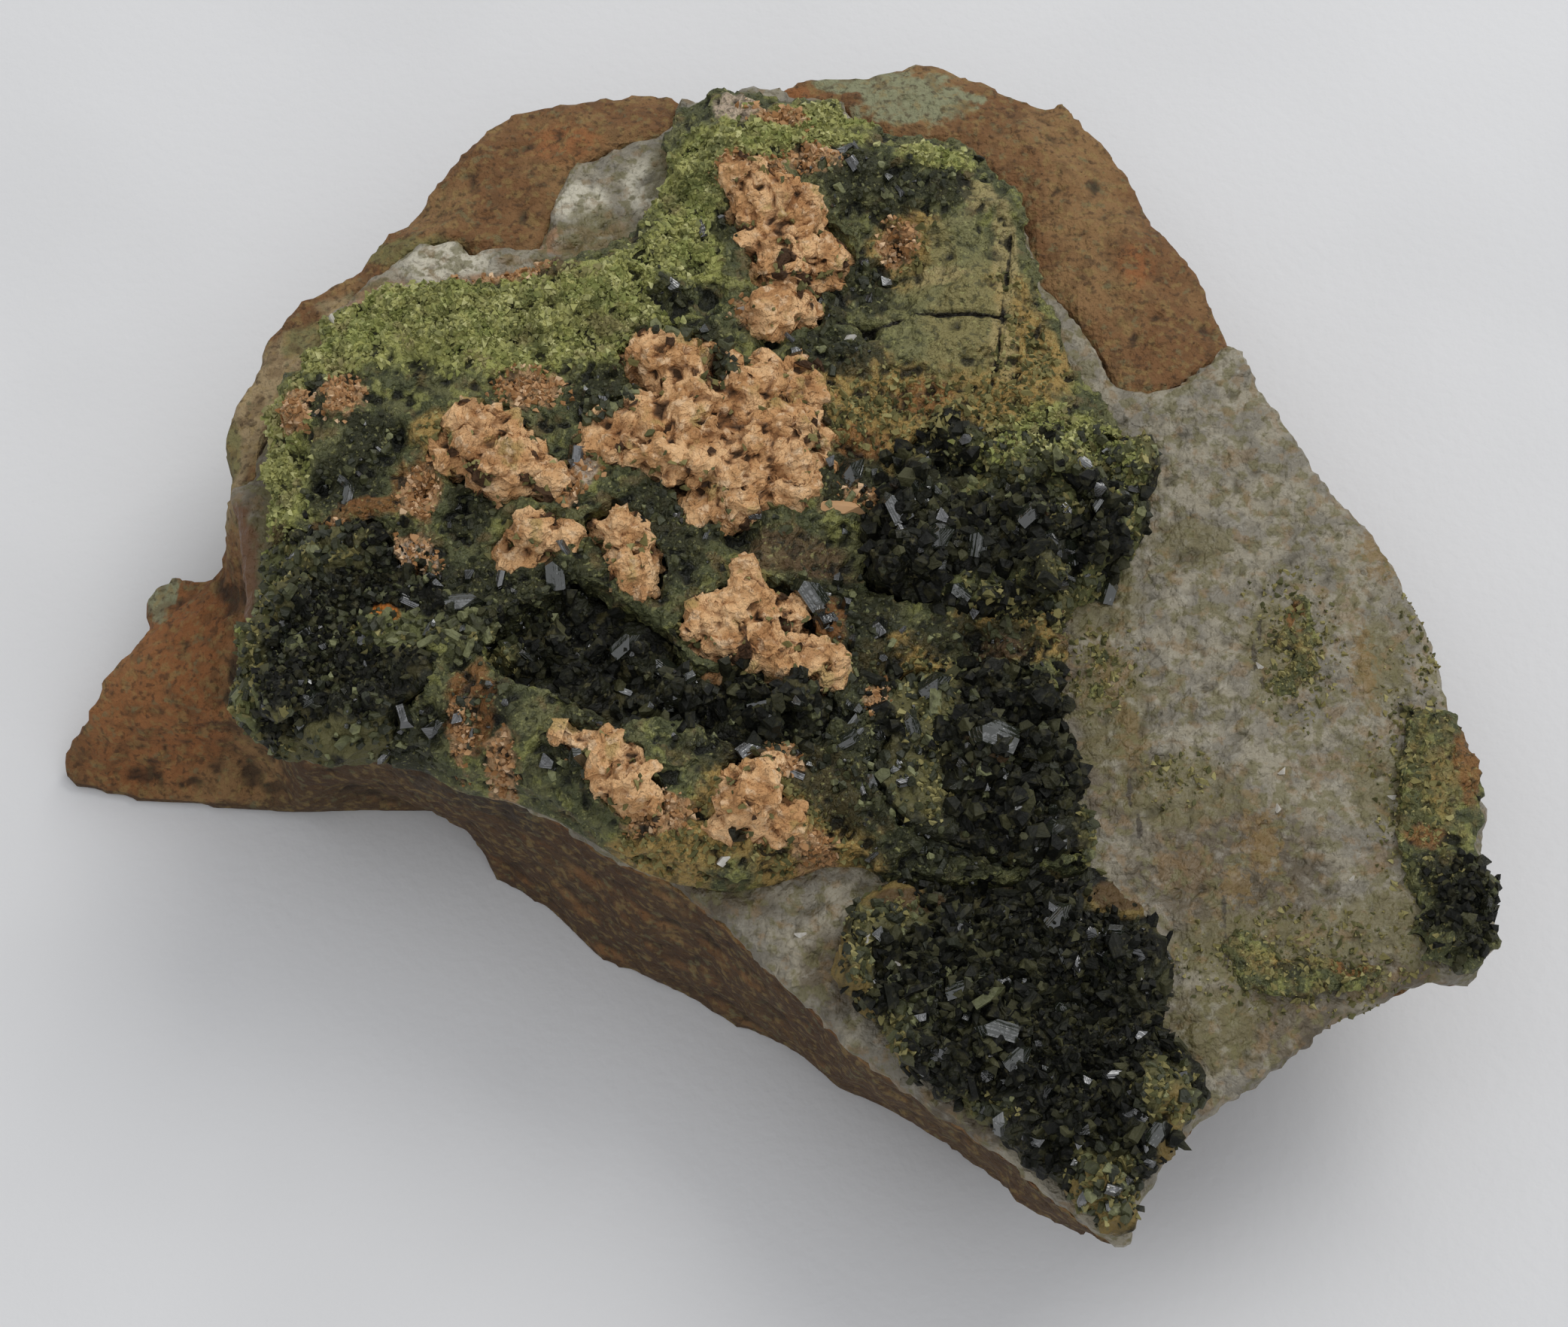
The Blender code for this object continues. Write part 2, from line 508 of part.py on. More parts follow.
def make_crust():
    bm = relief_block(CRUST_OUTLINE, CRUST_SPACING, CRUST_FLOOR, crust_top, 83)
    crust = to_object(
        bm, "epidote_crust", specimen, mineral_material("granular epidote", "epidote_crust", 0.6)
    )
    add_boolean(crust, "INTERSECT", crust_edge)
    for name, bed in CRYSTAL_BEDS.items():
        hollow = prism_cutter(name + "_hollow", [grown(bed["outline"], GAP)], bed["floor"] - GAP)
        add_boolean(crust, "DIFFERENCE", hollow)
    for name, outline in FELDSPAR_PATCHES.items():
        seat = prism_cutter(name + "_seat", [grown(outline, GAP)], feldspar_floor(outline) - GAP)
        add_boolean(crust, "DIFFERENCE", seat)
    add_flat_merge(crust)
    return crust


def feldspar_floor(outline):
    """Level of a feldspar patch's seat, from the crust's lowest level along its outline."""
    return min(crust_top(x, y) for x, y in outline) - FELDSPAR_DEPTH


def make_feldspar(name, outline, seed):
    def top(x, y):
        crown = smooth((depth_inside(x, y, outline) + 0.4) / 2.2)
        knobs = FELDSPAR_KNOBS * lump(x, y, 1.9, seed)
        return crust_top(x, y) - 0.5 + (0.5 + FELDSPAR_PROUD) * crown + knobs

    bm = relief_block(outline, FELDSPAR_SPACING, feldspar_floor(outline), top, seed)
    patch = to_object(bm, name, specimen, mineral_material("tan " + name, "feldspar", 0.8))
    add_boolean(patch, "INTERSECT", prism_cutter(name + "_edge", [outline], 0.0))
    add_flat_merge(patch)
    return patch


def crystal_template():
    """A stout six-sided prism of unit size, with two sloping end faces that meet in a ridge."""
    bm = bmesh.new()
    bmesh.ops.create_cone(bm, cap_ends=True, segments=6, radius1=0.5, radius2=0.5, depth=1.0)
    bmesh.ops.translate(bm, verts=bm.verts[:], vec=(0, 0, 0.5))
    for slope, height in ((38, 0.90), (-58, 0.78)):
        normal = Vector((math.sin(math.radians(slope)), 0.12, math.cos(math.radians(slope))))
        cut_flat(bm, Vector((0, 0, height)), normal)
    mesh = bpy.data.meshes.new("crystal template")
    bm.to_mesh(mesh)
    bm.free()
    return mesh


def make_prism(name, group, template, foot, lean, heading, turn, length, width):
    bm = bmesh.new()
    bm.from_mesh(template)
    place = (
        Matrix.Translation(foot)
        @ Matrix.Rotation(heading, 4, "Z")
        @ Matrix.Rotation(lean, 4, "Y")
        @ Matrix.Rotation(turn, 4, "Z")
        @ Matrix.Diagonal((width, width * 0.66, length, 1.0))
    )
    bm.transform(place)
    to_cutter(bm, name, group)


def scatter_crystals(name, bed, template, settled):
    """Crystals over a bed, spaced out and leaning all ways, as a group of cutters."""
    group = bpy.data.collections.new(name + "_prisms")
    cutters.children.link(group)
    dice = random.Random(bed["seed"])
    outline = bed.get("crystals", bed["outline"])
    low_x = min(x for x, y in outline)
    high_x = max(x for x, y in outline)
    low_y = min(y for x, y in outline)
    high_y = max(y for x, y in outline)
    area = abs(sum(a[0] * b[1] - b[0] * a[1] for a, b in zip(outline, outline[1:] + outline[:1]))) / 2
    apart = 0.80 * math.sqrt(area / bed["count"])
    places = []
    for attempt in range(3000):
        if len(places) == bed["count"]:
            break
        x = dice.uniform(low_x, high_x)
        y = dice.uniform(low_y, high_y)
        if depth_inside(x, y, outline) < settled:
            continue
        if "drop" in bed and depth_inside(x, y, CRUST_OUTLINE) < settled:
            continue
        if any(math.hypot(x - a, y - b) < apart for a, b in places):
            continue
        places.append((x, y))
        make_prism(
            f"{name}_prism_{len(places)}", group, template,
            Vector((x, y, bed["floor"] + bed.get("foot", 0.2))),
            math.radians(dice.uniform(8, bed["lean"])), dice.uniform(0, math.tau),
            dice.uniform(0, math.pi), dice.uniform(*bed["length"]), dice.uniform(*bed["width"]),
        )
    return group


def make_crystals(name, bed, trim, template, keep_out=None):
    """A lumpy crust with crystals grown from it, in one solid."""
    outline = bed["outline"]
    floor = bed["floor"]

    def top(x, y):
        rim = smooth((depth_inside(x, y, outline) + 0.3) / 2.0)
        if "drop" in bed:
            return max(floor + 1.2, crust_top(x, y) - bed["drop"] * rim)
        return floor + bed["base"] * (0.65 + 0.35 * rim) + 0.45 * lump(x, y, 3.0, bed["seed"])

    bm = relief_block(outline, CRYSTAL_BASE_SPACING, floor, top, bed["seed"])
    crystals = to_object(
        bm, name, specimen, mineral_material("dark " + name, "epidote_crystals", 0.2)
    )
    add_boolean(crystals, "INTERSECT", prism_cutter(name + "_base", [outline], 0.0))
    if "drop" in bed:
        add_boolean(crystals, "INTERSECT", crust_edge)
    add_group_union(crystals, scatter_crystals(name, bed, template, 0.9))
    add_boolean(crystals, "INTERSECT", prism_cutter(name + "_trim", [trim], floor))
    if keep_out:
        add_boolean(crystals, "DIFFERENCE", prism_cutter(name + "_clear", [keep_out], 0.0))
    add_flat_merge(crystals)
    return crystals


def make_quartz_patch(name, outline, seed):
    def top(x, y):
        crown = smooth((depth_inside(x, y, outline) + 0.2) / 1.6)
        return CRUST_FLOOR + 0.5 + 0.7 * crown + 0.25 * lump(x, y, 2.5, seed)

    bm = relief_block(outline, QUARTZ_PATCH_SPACING, CRUST_FLOOR, top, seed)
    patch = to_object(bm, name, specimen, mineral_material("olive " + name, "epidote_crust", 0.6))
    add_boolean(patch, "INTERSECT", prism_cutter(name + "_edge", [outline], 0.0))
    add_flat_merge(patch)
    return patch


for stray in list(bpy.data.objects):
    bpy.data.objects.remove(stray)
specimen = bpy.data.collections.new("epidote crystal cluster")
cutters = bpy.data.collections.new("cutters")
bpy.context.scene.collection.children.link(specimen)
bpy.context.scene.collection.children.link(cutters)

broken_edge = ragged(CRUST_OUTLINE, EDGE_SPACING, EDGE_RAGGEDNESS, 2.0)
crust_edge = prism_cutter("crust_edge", [broken_edge], 0.0)

make_host_rock()
make_quartz()
make_crust()
unit_crystal = crystal_template()
for bed_name, bed_values in CRYSTAL_BEDS.items():
    make_crystals(bed_name, bed_values, bed_values["outline"], unit_crystal)
make_crystals(
    "lower_crystals", LOWER_BED, grown(LOWER_BED_OUTLINE, 0.7), unit_crystal,
    keep_out=grown(CRUST_OUTLINE, 0.8),
)
make_crystals("right_edge_crystals", RIGHT_EDGE, grown(RIGHT_EDGE_OUTLINE, 0.4), unit_crystal)
for order, (patch_name, patch_outline) in enumerate(FELDSPAR_PATCHES.items()):
    make_feldspar(patch_name, patch_outline, 91 + order)
for order, (patch_name, patch_outline) in enumerate(QUARTZ_PATCHES.items()):
    make_quartz_patch(patch_name, patch_outline, 71 + order)
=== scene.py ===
import math

import bpy
import numpy as np
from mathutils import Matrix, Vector
from mathutils.bvhtree import BVHTree


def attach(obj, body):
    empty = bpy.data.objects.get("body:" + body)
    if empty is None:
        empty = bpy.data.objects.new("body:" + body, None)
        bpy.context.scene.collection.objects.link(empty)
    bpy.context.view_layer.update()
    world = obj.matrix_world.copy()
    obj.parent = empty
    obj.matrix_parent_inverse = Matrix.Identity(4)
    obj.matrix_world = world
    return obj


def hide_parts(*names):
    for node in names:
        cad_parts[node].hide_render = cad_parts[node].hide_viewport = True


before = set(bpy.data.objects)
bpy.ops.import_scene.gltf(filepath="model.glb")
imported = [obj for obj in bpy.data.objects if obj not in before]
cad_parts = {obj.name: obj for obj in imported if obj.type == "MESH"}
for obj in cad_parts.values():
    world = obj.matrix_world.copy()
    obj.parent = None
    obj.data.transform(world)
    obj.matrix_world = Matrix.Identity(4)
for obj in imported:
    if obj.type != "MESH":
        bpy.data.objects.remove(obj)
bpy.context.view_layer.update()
mm = 0.001


# helpers for meshes
def pickOnly(*pieces):
    bpy.ops.object.select_all(action="DESELECT")
    for piece in pieces:
        piece.select_set(True)
    bpy.context.view_layer.objects.active = pieces[-1]


def applyStep(piece, kind, **settings):
    step = piece.modifiers.new(kind.lower(), kind)
    for name, value in settings.items():
        setattr(step, name, value)
    pickOnly(piece)
    bpy.ops.object.modifier_apply(modifier=step.name)


def takeNode(nodeName, pieceName):
    # a merged copy of a CAD node, to be worked into the finished stone
    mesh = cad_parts[nodeName].data.copy()
    mesh.name = pieceName
    piece = bpy.data.objects.new(pieceName, mesh)
    bpy.context.scene.collection.objects.link(piece)
    mesh.materials.clear()
    pickOnly(piece)
    if mesh.has_custom_normals:
        bpy.ops.mesh.customdata_custom_splitnormals_clear()
    bpy.ops.object.mode_set(mode="EDIT")
    bpy.ops.mesh.select_all(action="SELECT")
    bpy.ops.mesh.remove_doubles(threshold=0.002 * mm)
    bpy.ops.object.mode_set(mode="OBJECT")
    return piece


def placesOf(piece):
    # vertex places in millimetres
    places = np.empty(len(piece.data.vertices) * 3)
    piece.data.vertices.foreach_get("co", places)
    return places.reshape(-1, 3) / mm


def moveTo(piece, places):
    piece.data.vertices.foreach_set("co", (places * mm).ravel())
    piece.data.update()


def keepValue(piece, name, values):
    # one number per vertex, which the materials read by its name
    layer = piece.data.attributes.new(name, "FLOAT", "POINT")
    layer.data.foreach_set("value", np.asarray(values, dtype=np.float32))


def groupFrom(piece, name, weights):
    group = piece.vertex_groups.new(name=name)
    levels = np.clip(np.round(weights * 10), 0, 10).astype(int)
    for level in range(1, 11):
        members = np.nonzero(levels == level)[0].tolist()
        if members:
            group.add(members, level / 10, "REPLACE")


def nearSpots(places, spots):
    # 1 in the middle of a spot, 0.5 at its rim, 0 at twice its size; a spot is x, y, halfX, halfY
    found = np.zeros(len(places))
    for x, y, halfX, halfY in spots:
        away = np.hypot((places[:, 0] - x) / halfX, (places[:, 1] - y) / halfY)
        found = np.maximum(found, np.clip(1.0 - away / 2.0, 0.0, 1.0))
    return found


def insideSpots(places, spots, trim=0.6):
    # like nearSpots, but 1 over the whole inner part of a spot and 0 a little past its rim
    return np.clip(nearSpots(places, spots) * 2.0 - trim, 0.0, 1.0)


def nearLines(places, lines, width):
    # 1 on lines of points seen from above, 0 past their width
    x, y = places[:, 0], places[:, 1]
    nearest = np.full(len(places), np.inf)
    for line in lines:
        for (x1, y1), (x2, y2) in zip(line, line[1:]):
            run = (x2 - x1) ** 2 + (y2 - y1) ** 2
            along = np.clip(((x - x1) * (x2 - x1) + (y - y1) * (y2 - y1)) / run, 0.0, 1.0)
            away = np.hypot(x - x1 - along * (x2 - x1), y - y1 - along * (y2 - y1))
            nearest = np.minimum(nearest, away)
    return np.clip(1.0 - nearest / width, 0.0, 1.0)


def ramp(values, start, length):
    # 0 up to the start, then rising to 1 over the length
    return np.clip((values - start) / length, 0.0, 1.0)


def keepSpots(piece, places, settings, *names):
    for name in names:
        keepValue(piece, name, nearSpots(places, settings[name + "Spots"]))


def sinkFoot(piece, reach, depth, squash=1.0):
    # lowers the underside into what lies below, so that no gap shows, and squashes the height
    places = placesOf(piece)
    under = places[:, 2] < places[:, 2].min() + reach
    places[under, 2] -= depth
    foot = places[:, 2].min()
    places[:, 2] = foot + (places[:, 2] - foot) * squash
    moveTo(piece, places)


def smooth(piece, factor, rounds):
    applyStep(piece, "SMOOTH", factor=factor, iterations=rounds)


def remesh(piece, settings):
    applyStep(piece, "REMESH", mode="VOXEL", voxel_size=settings["voxel"] * mm)
    smooth(piece, *settings["smoothing"])


def lumps(size, height, **more):
    # a step of relief; size, height and swell in millimetres, way is the direction of the shift
    return {"size": size, "height": height, **more}


def grit(size, height, **more):
    return lumps(size, height, pattern="IMPROVED_PERLIN", **more)


def pits(size, height, middle=0.35, detail=1, **more):
    return lumps(size, height, pattern="VORONOI_F1", middle=middle, detail=detail, **more)


def roughen(piece, steps):
    for step in steps:
        texture = bpy.data.textures.new(f"{piece.name} {step['size']}", "CLOUDS")
        texture.noise_scale = step["size"] * mm
        texture.noise_depth = step.get("detail", 2)
        texture.noise_basis = step.get("pattern", "BLENDER_ORIGINAL")
        applyStep(
            piece, "DISPLACE", texture=texture, texture_coords="GLOBAL", strength=step["height"] * mm,
            mid_level=step.get("middle", 0.5) - step.get("swell", 0.0) / step["height"],
            vertex_group=step.get("group", ""), direction=step.get("way", "NORMAL"),
        )


def hollowOf(piece, rounds, depth):
    # 0.5 on level ground, towards 1 in hollows and 0 on ridges; a round pulls each point to its neighbours
    pull = 0.6
    mesh = piece.data
    edges = np.empty(len(mesh.edges) * 2, dtype=np.int64)
    mesh.edges.foreach_get("vertices", edges)
    first, second = edges.reshape(-1, 2).T
    count = len(mesh.vertices)
    links = np.bincount(first, minlength=count) + np.bincount(second, minlength=count)
    links = np.maximum(links, 1)
    places = placesOf(piece)
    calm = places.copy()
    for turn in range(rounds):
        for axis in range(3):
            value = calm[:, axis]
            total = np.bincount(first, weights=value[second], minlength=count)
            total += np.bincount(second, weights=value[first], minlength=count)
            calm[:, axis] = (1.0 - pull) * value + pull * total / links
    normals = np.empty(count * 3)
    mesh.vertices.foreach_get("normal", normals)
    sunk = ((calm - places) * normals.reshape(-1, 3)).sum(axis=1)
    return np.clip(0.5 + sunk / (2.0 * depth), 0.0, 1.0)


def finishPiece(piece, material, slotName, *nodes):
    piece.data.materials.clear()
    piece.data.materials.append(material)
    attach(piece, "root")
    if nodes:
        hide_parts(*nodes)


# helpers for materials
def linearColour(hexValue):
    # sRGB hex value to the linear colour that a shader takes
    parts = [int(hexValue[i:i + 2], 16) / 255 for i in (0, 2, 4)]
    return (*[p / 12.92 if p <= 0.04045 else ((p + 0.055) / 1.055) ** 2.4 for p in parts], 1.0)


def addNode(material, kind, settings=None, links=None):
    tree = material.node_tree
    node = tree.nodes.new("ShaderNode" + kind)
    for name, value in (settings or {}).items():
        if isinstance(name, int) or name in node.inputs:
            node.inputs[name].default_value = value
        else:
            setattr(node, name, value)
    for name, source in (links or {}).items():
        tree.links.new(source, node.inputs[name])
    return node


def stain(colour, size, span, share, zone="", detail=2.0, ragged=0.5):
    # a layer of colour: noise of a size in millimetres, cut at a span, and held in a zone if one is named
    return {
        "colour": colour, "size": size, "span": span, "share": share, "zone": zone, "detail": detail,
        "ragged": ragged,
    }


def tint(colour, span, share):
    # a layer whose share goes by the tone of each crystal
    return stain(colour, 1.0, span, share, "tone", ragged=0.1)


def bump(size, height, detail=2.0, cells=False):
    # relief in the shading: noise, or rounded grains; size and height in millimetres
    return {"size": size, "height": height, "detail": detail, "cells": cells}


def streaks(scale, height):
    # fine lines along a prism
    return {"scale": scale, "height": height, "cells": False}


def makeMineral(name, recipe):
    # layers of colour over a base, then gloss, then bumps
    material = bpy.data.materials.new(name)
    material.use_nodes = True
    link = material.node_tree.links.new
    shader = material.node_tree.nodes["Principled BSDF"].inputs
    place = {"Vector": addNode(material, "TexCoord").outputs["Object"]}
    base = linearColour(recipe["base"])
    colour = None
    for layer in recipe["layers"]:
        noise = {"Scale": 1.0 / (layer["size"] * mm), "Detail": layer["detail"]}
        value = addNode(material, "TexNoise", noise, place).outputs["Fac"]
        low, high = layer["span"]
        if layer["zone"]:
            zone = addNode(material, "Attribute", {"attribute_name": layer["zone"]})
            spread = addNode(
                material, "Math", {"operation": "MULTIPLY_ADD", 1: layer["ragged"], 2: 0.0},
                {0: value, 2: zone.outputs["Fac"]},
            )
            value = spread.outputs[0]
            low += 0.5 * layer["ragged"]
            high += 0.5 * layer["ragged"]
        cut = addNode(
            material, "MapRange",
            {"interpolation_type": "SMOOTHSTEP", "From Min": low, "From Max": high, "To Max": layer["share"]},
            {"Value": value},
        )
        mixed = addNode(
            material, "Mix", {"data_type": "RGBA", 6: base, 7: linearColour(layer["colour"])},
            {0: cut.outputs[0]},
        )
        if colour:
            link(colour, mixed.inputs[6])
        colour = mixed.outputs[2]
    link(colour, shader["Base Color"])
    gloss = recipe["roughness"]
    if isinstance(gloss, dict):
        # only the crystals of the highest tone are glassy
        source = addNode(material, "Attribute", {"attribute_name": "tone"}).outputs["Fac"]
        span = {"From Min": gloss["from"], "From Max": gloss["from"] + 0.05}
        dull, shiny = gloss["dull"], gloss["glassy"]
    elif isinstance(gloss, tuple):
        # patches of a size in millimetres, from dull to shiny
        size, dull, shiny = gloss
        noise = {"Scale": 1.0 / (size * mm), "Detail": 1.0}
        source = addNode(material, "TexNoise", noise, place).outputs["Fac"]
        span = {"From Min": 0.35, "From Max": 0.65}
    if isinstance(gloss, float):
        shader["Roughness"].default_value = gloss
    else:
        limits = {**span, "To Min": dull, "To Max": shiny}
        link(addNode(material, "MapRange", limits, {"Value": source}).outputs[0], shader["Roughness"])
    for socket, key, usual in (
        ("IOR", "ior", 1.5), ("Specular IOR Level", "specular", 0.5), ("Coat Weight", "coat", 0.0),
    ):
        shader[socket].default_value = recipe.get(key, usual)
    shader["Coat Roughness"].default_value = 0.2
    normal = None
    for relief in recipe["bumps"]:
        if "scale" in relief:
            lengthwise = addNode(material, "UVMap", {"uv_map": "lengthwise"}).outputs[0]
            mapping = addNode(material, "Mapping", {"Scale": relief["scale"]}, {"Vector": lengthwise})
            vector = {"Vector": mapping.outputs[0]}
            noise = {"Scale": 1.0, "Detail": 2.0}
        else:
            vector = place
            noise = {"Scale": 1.0 / (relief["size"] * mm), "Detail": relief["detail"]}
        pattern = addNode(material, "TexVoronoi" if relief["cells"] else "TexNoise", noise, vector)
        raised = addNode(
            material, "Bump", {"Strength": 1.0, "Distance": relief["height"] * mm, "invert": relief["cells"]},
            {"Height": pattern.outputs[0]},
        )
        if normal:
            link(normal, raised.inputs["Normal"])
        normal = raised.outputs[0]
    if normal:
        link(normal, shader["Normal"])
    return material


# host rock: weathered greenstone, stained brown by iron
print("host rock")
hostSettings = {
    "voxel": 0.62, "smoothing": (0.5, 3), "hollow": (8, 0.35),
    # a sharp spike of the solid, cut down: x, y, radius, top
    "knob": (-47.1, 10.2, 2.0, 10.5),
    # the underside stays flat: no relief up to a height, then more over a length
    "free": (0.3, 2.0),
    "relief": [
        lumps(5.0, 1.0, group="free"),
        grit(2.2, 0.7, group="free"),
        pits(1.3, -0.45, middle=0.3, group="free"),
    ],
    # greenish, less stained stone at the very top; painted shade on the arm's root and along the front below
    # the crust, where the crust overhangs
    "greenSpots": [(10.5, 48.5, 4.6, 3.0), (6.5, 50.5, 3.0, 2.0), (-50, 9.5, 1.6, 2.2)],
    "darkSpots": [
        (-40, -8.2, 3.4, 2.6), (-36, -9.6, 5, 2), (-42.3, 1.2, 1.2, 1.8), (-44, -8, 2.6, 2),
        (-33, -9.5, 4, 2),
    ],
    "orangeSpots": [(-48, 5, 5, 5), (-50, -1, 6, 4), (28, 32, 1.4, 2.0), (-18, 44, 3, 2), (-1, 49, 4, 1.2)],
    "paleSpots": [
        (-42, 19, 2.4, 4), (-43, 13.5, 1.4, 2.4), (-38.5, 24.5, 3, 2.2), (-34, 28.6, 3, 1.4),
        (-40, 22, 2, 3),
    ],
    "mossSpots": [(-37, 25.5, 2.6, 1.6), (-43.4, 16, 1.0, 3), (-30, 34, 4, 1.2)],
    # grey only high on the front face
    "greySpots": [(-36, -10.5, 6, 2.4), (-28, -11.5, 6, 2.4), (-22, -13.5, 4, 2)], "greyFrom": (13.0, 3.0),
}
hostRock = takeNode("host_rock", "hostRock")
places = placesOf(hostRock)
knobX, knobY, knobRadius, knobTop = hostSettings["knob"]
knob = np.hypot(places[:, 0] - knobX, places[:, 1] - knobY) < knobRadius
places[knob, 2] = np.minimum(places[knob, 2], knobTop)
moveTo(hostRock, places)
remesh(hostRock, hostSettings)
groupFrom(hostRock, "free", ramp(placesOf(hostRock)[:, 2], *hostSettings["free"]))
roughen(hostRock, hostSettings["relief"])
places = placesOf(hostRock)
keepSpots(hostRock, places, hostSettings, "green", "orange", "pale", "moss")
# painted shade on the steep faces that look to the front, so the front face is darker than the top
normals = np.empty(len(places) * 3)
hostRock.data.vertices.foreach_get("normal", normals)
paintedFrontShade = np.clip(0.7 - normals[2::3], 0.0, 1.0) * np.clip(-normals[1::3] * 2.0, 0.0, 1.0)
keepValue(hostRock, "dark", np.maximum(nearSpots(places, hostSettings["darkSpots"]), paintedFrontShade))
front = ramp(places[:, 2], *hostSettings["greyFrom"])
keepValue(hostRock, "grey", nearSpots(places, hostSettings["greySpots"]) * front)
keepValue(hostRock, "hollow", hollowOf(hostRock, *hostSettings["hollow"]))
# weathered greenstone: fine grains of feldspar and iron oxide give a matt, speckled brown
greenstone = makeMineral("weatheredGreenstone", {
    "base": "725030",
    "layers": [
        stain("866742", 7.0, (0.40, 0.62), 0.9),
        stain("8C5830", 2.5, (0.32, 0.70), 0.75, "orange"),
        stain("8A7A5A", 1.6, (0.34, 0.58), 0.85, "pale", detail=3.0),
        stain("A8926F", 1.0, (0.52, 0.72), 0.6, "pale", detail=3.0),
        stain("6E6C42", 1.2, (0.34, 0.58), 0.8, "moss", detail=3.0),
        stain("85886A", 2.4, (0.42, 0.56), 0.9, "green", detail=4.0, ragged=1.3),
        stain("4E463A", 1.6, (0.35, 0.60), 0.9, "grey"),
        # painted shade: the arm's root under the crust and the steep front face
        stain("33271C", 2.0, (0.36, 0.60), 0.75, "dark"),
        stain("584026", 1.4, (0.48, 0.64), 0.5, detail=4.0),
        stain("8B7547", 0.8, (0.50, 0.66), 0.5, detail=5.0),
        stain("3C2B1B", 0.55, (0.54, 0.66), 0.6, detail=4.0),
        stain("6F6C4C", 0.9, (0.58, 0.70), 0.5, detail=3.0),
        # near black in the hollows: painted shade
        stain("271D14", 0.8, (0.56, 0.78), 0.75, "hollow", ragged=0.2),
    ],
    "roughness": 0.85,
    "specular": 0.35,
    "bumps": [
        bump(0.55, 0.36, 4.0),
        bump(0.40, 0.10, cells=True),
    ],
})
finishPiece(hostRock, greenstone, "host_rock", "host_rock")

# quartz sheet
print("quartz sheet")
quartzSettings = {
    "voxel": 0.54, "smoothing": (0.5, 3), "sink": (0.3, 0.6), "hollow": (8, 0.30), "crackWidth": 0.50,
    "relief": [
        lumps(5.0, 0.9, middle=0.0),
        grit(2.0, 0.85),
        pits(1.5, -0.7, middle=0.3),
    ],
    "rustSpots": [
        (45.6, 6.4, 1.6, 2.4), (42.8, 1, 1.0, 2.4), (43.4, -4.5, 0.9, 3.0), (35, -17.6, 1.2, 2.6),
        (29.5, -20, 2.4, 1.8), (24, -22.5, 2.2, 1.4), (43.5, -19, 1.6, 1.2), (35, 14.5, 2.0, 0.8),
        (46.5, 8, 1.2, 1.6), (40.5, -11.5, 3.5, 1.0), (24.5, -3.5, 1.5, 3.0), (26, -9, 1.2, 2.4),
    ],
    "oliveSpots": [
        (29, -13.5, 4.5, 3.0), (24.5, -7, 2.5, 5), (35, -26, 7, 3), (37, -2, 2.4, 4),
        (44.5, -13, 2.5, 3), (24, 2, 3, 3), (45, -3, 1.6, 4), (31, 7, 3, 2), (22, 20, 1.5, 3),
        (44, -24, 4, 2.5), (31, -32, 3, 3), (22.5, 8, 2.0, 5), (-39.5, 6, 1.4, 5), (27, 12, 2, 2),
        (18, 20, 3, 6), (-15, 34, 3, 3), (-9, 40, 2, 3),
    ],
    "tanSpots": [
        (-14, 32.6, 3.0, 2.6), (-22, 29.4, 4.5, 1.6), (-31.5, 27.4, 3, 3), (-8, 41, 1.6, 2),
        (-17.5, 34, 2, 1.2), (-36, 24.5, 2, 2),
    ],
    "brownSpots": [
        (23, -5, 4, 3), (24, -12, 2.5, 4), (34, -31.5, 7, 2.6), (44, -28, 4, 1.6), (27, -35, 3, 3),
        (33, -20, 7, 6), (33, -32, 8, 2.6), (25.5, -12, 1.6, 5), (-40, 8, 2.2, 6), (-40.5, 1, 2.4, 5),
        (-39, 15, 2.4, 5), (12, -24, 1.5, 3), (-6, -21.5, 5, 2), (4, -27.5, 3, 3), (14, -38, 5, 2.4),
    ],
    "emberSpots": [
        (45.8, 7.0, 1.6, 2.4), (43.6, -3.5, 1.0, 3.4), (35.2, -17.8, 1.4, 2.4), (33.2, -21, 1.2, 1.6),
    ],
    "hostSpots": [(-42.2, 2.5, 1.8, 7.5), (-41.8, -6, 1.8, 3)],
    "paleSpots": [
        (-16.4, 37.6, 2.0, 1.6), (-10.6, 39, 1.8, 2.4), (-26.6, 32, 3, 1.6),
        (-19.4, 30.6, 1.6, 0.8), (25.5, -29, 1.2, 4),
    ],
    "cracks": [
        [(17.3, 24.9), (19, 25.6), (20.8, 25.9)], [(46.9, -7.6), (47.2, -10.5), (47.0, -13.4)],
        [(26.0, -11.5), (25.6, -13.4), (25.9, -15), (26.3, -17)], [(32.0, -22), (31.9, -25), (32.4, -28)],
        [(36, 0.5), (35.3, -3), (36.2, -5.7)],
    ],
}
quartzSheet = takeNode("quartz_layer", "quartzSheet")
sinkFoot(quartzSheet, *quartzSettings["sink"])
remesh(quartzSheet, quartzSettings)
roughen(quartzSheet, quartzSettings["relief"])
places = placesOf(quartzSheet)
keepSpots(quartzSheet, places, quartzSettings, "rust", "tan", "olive", "brown", "pale", "host", "ember")
keepValue(quartzSheet, "crack", nearLines(places, quartzSettings["cracks"], quartzSettings["crackWidth"]))
keepValue(quartzSheet, "hollow", hollowOf(quartzSheet, *quartzSettings["hollow"]))
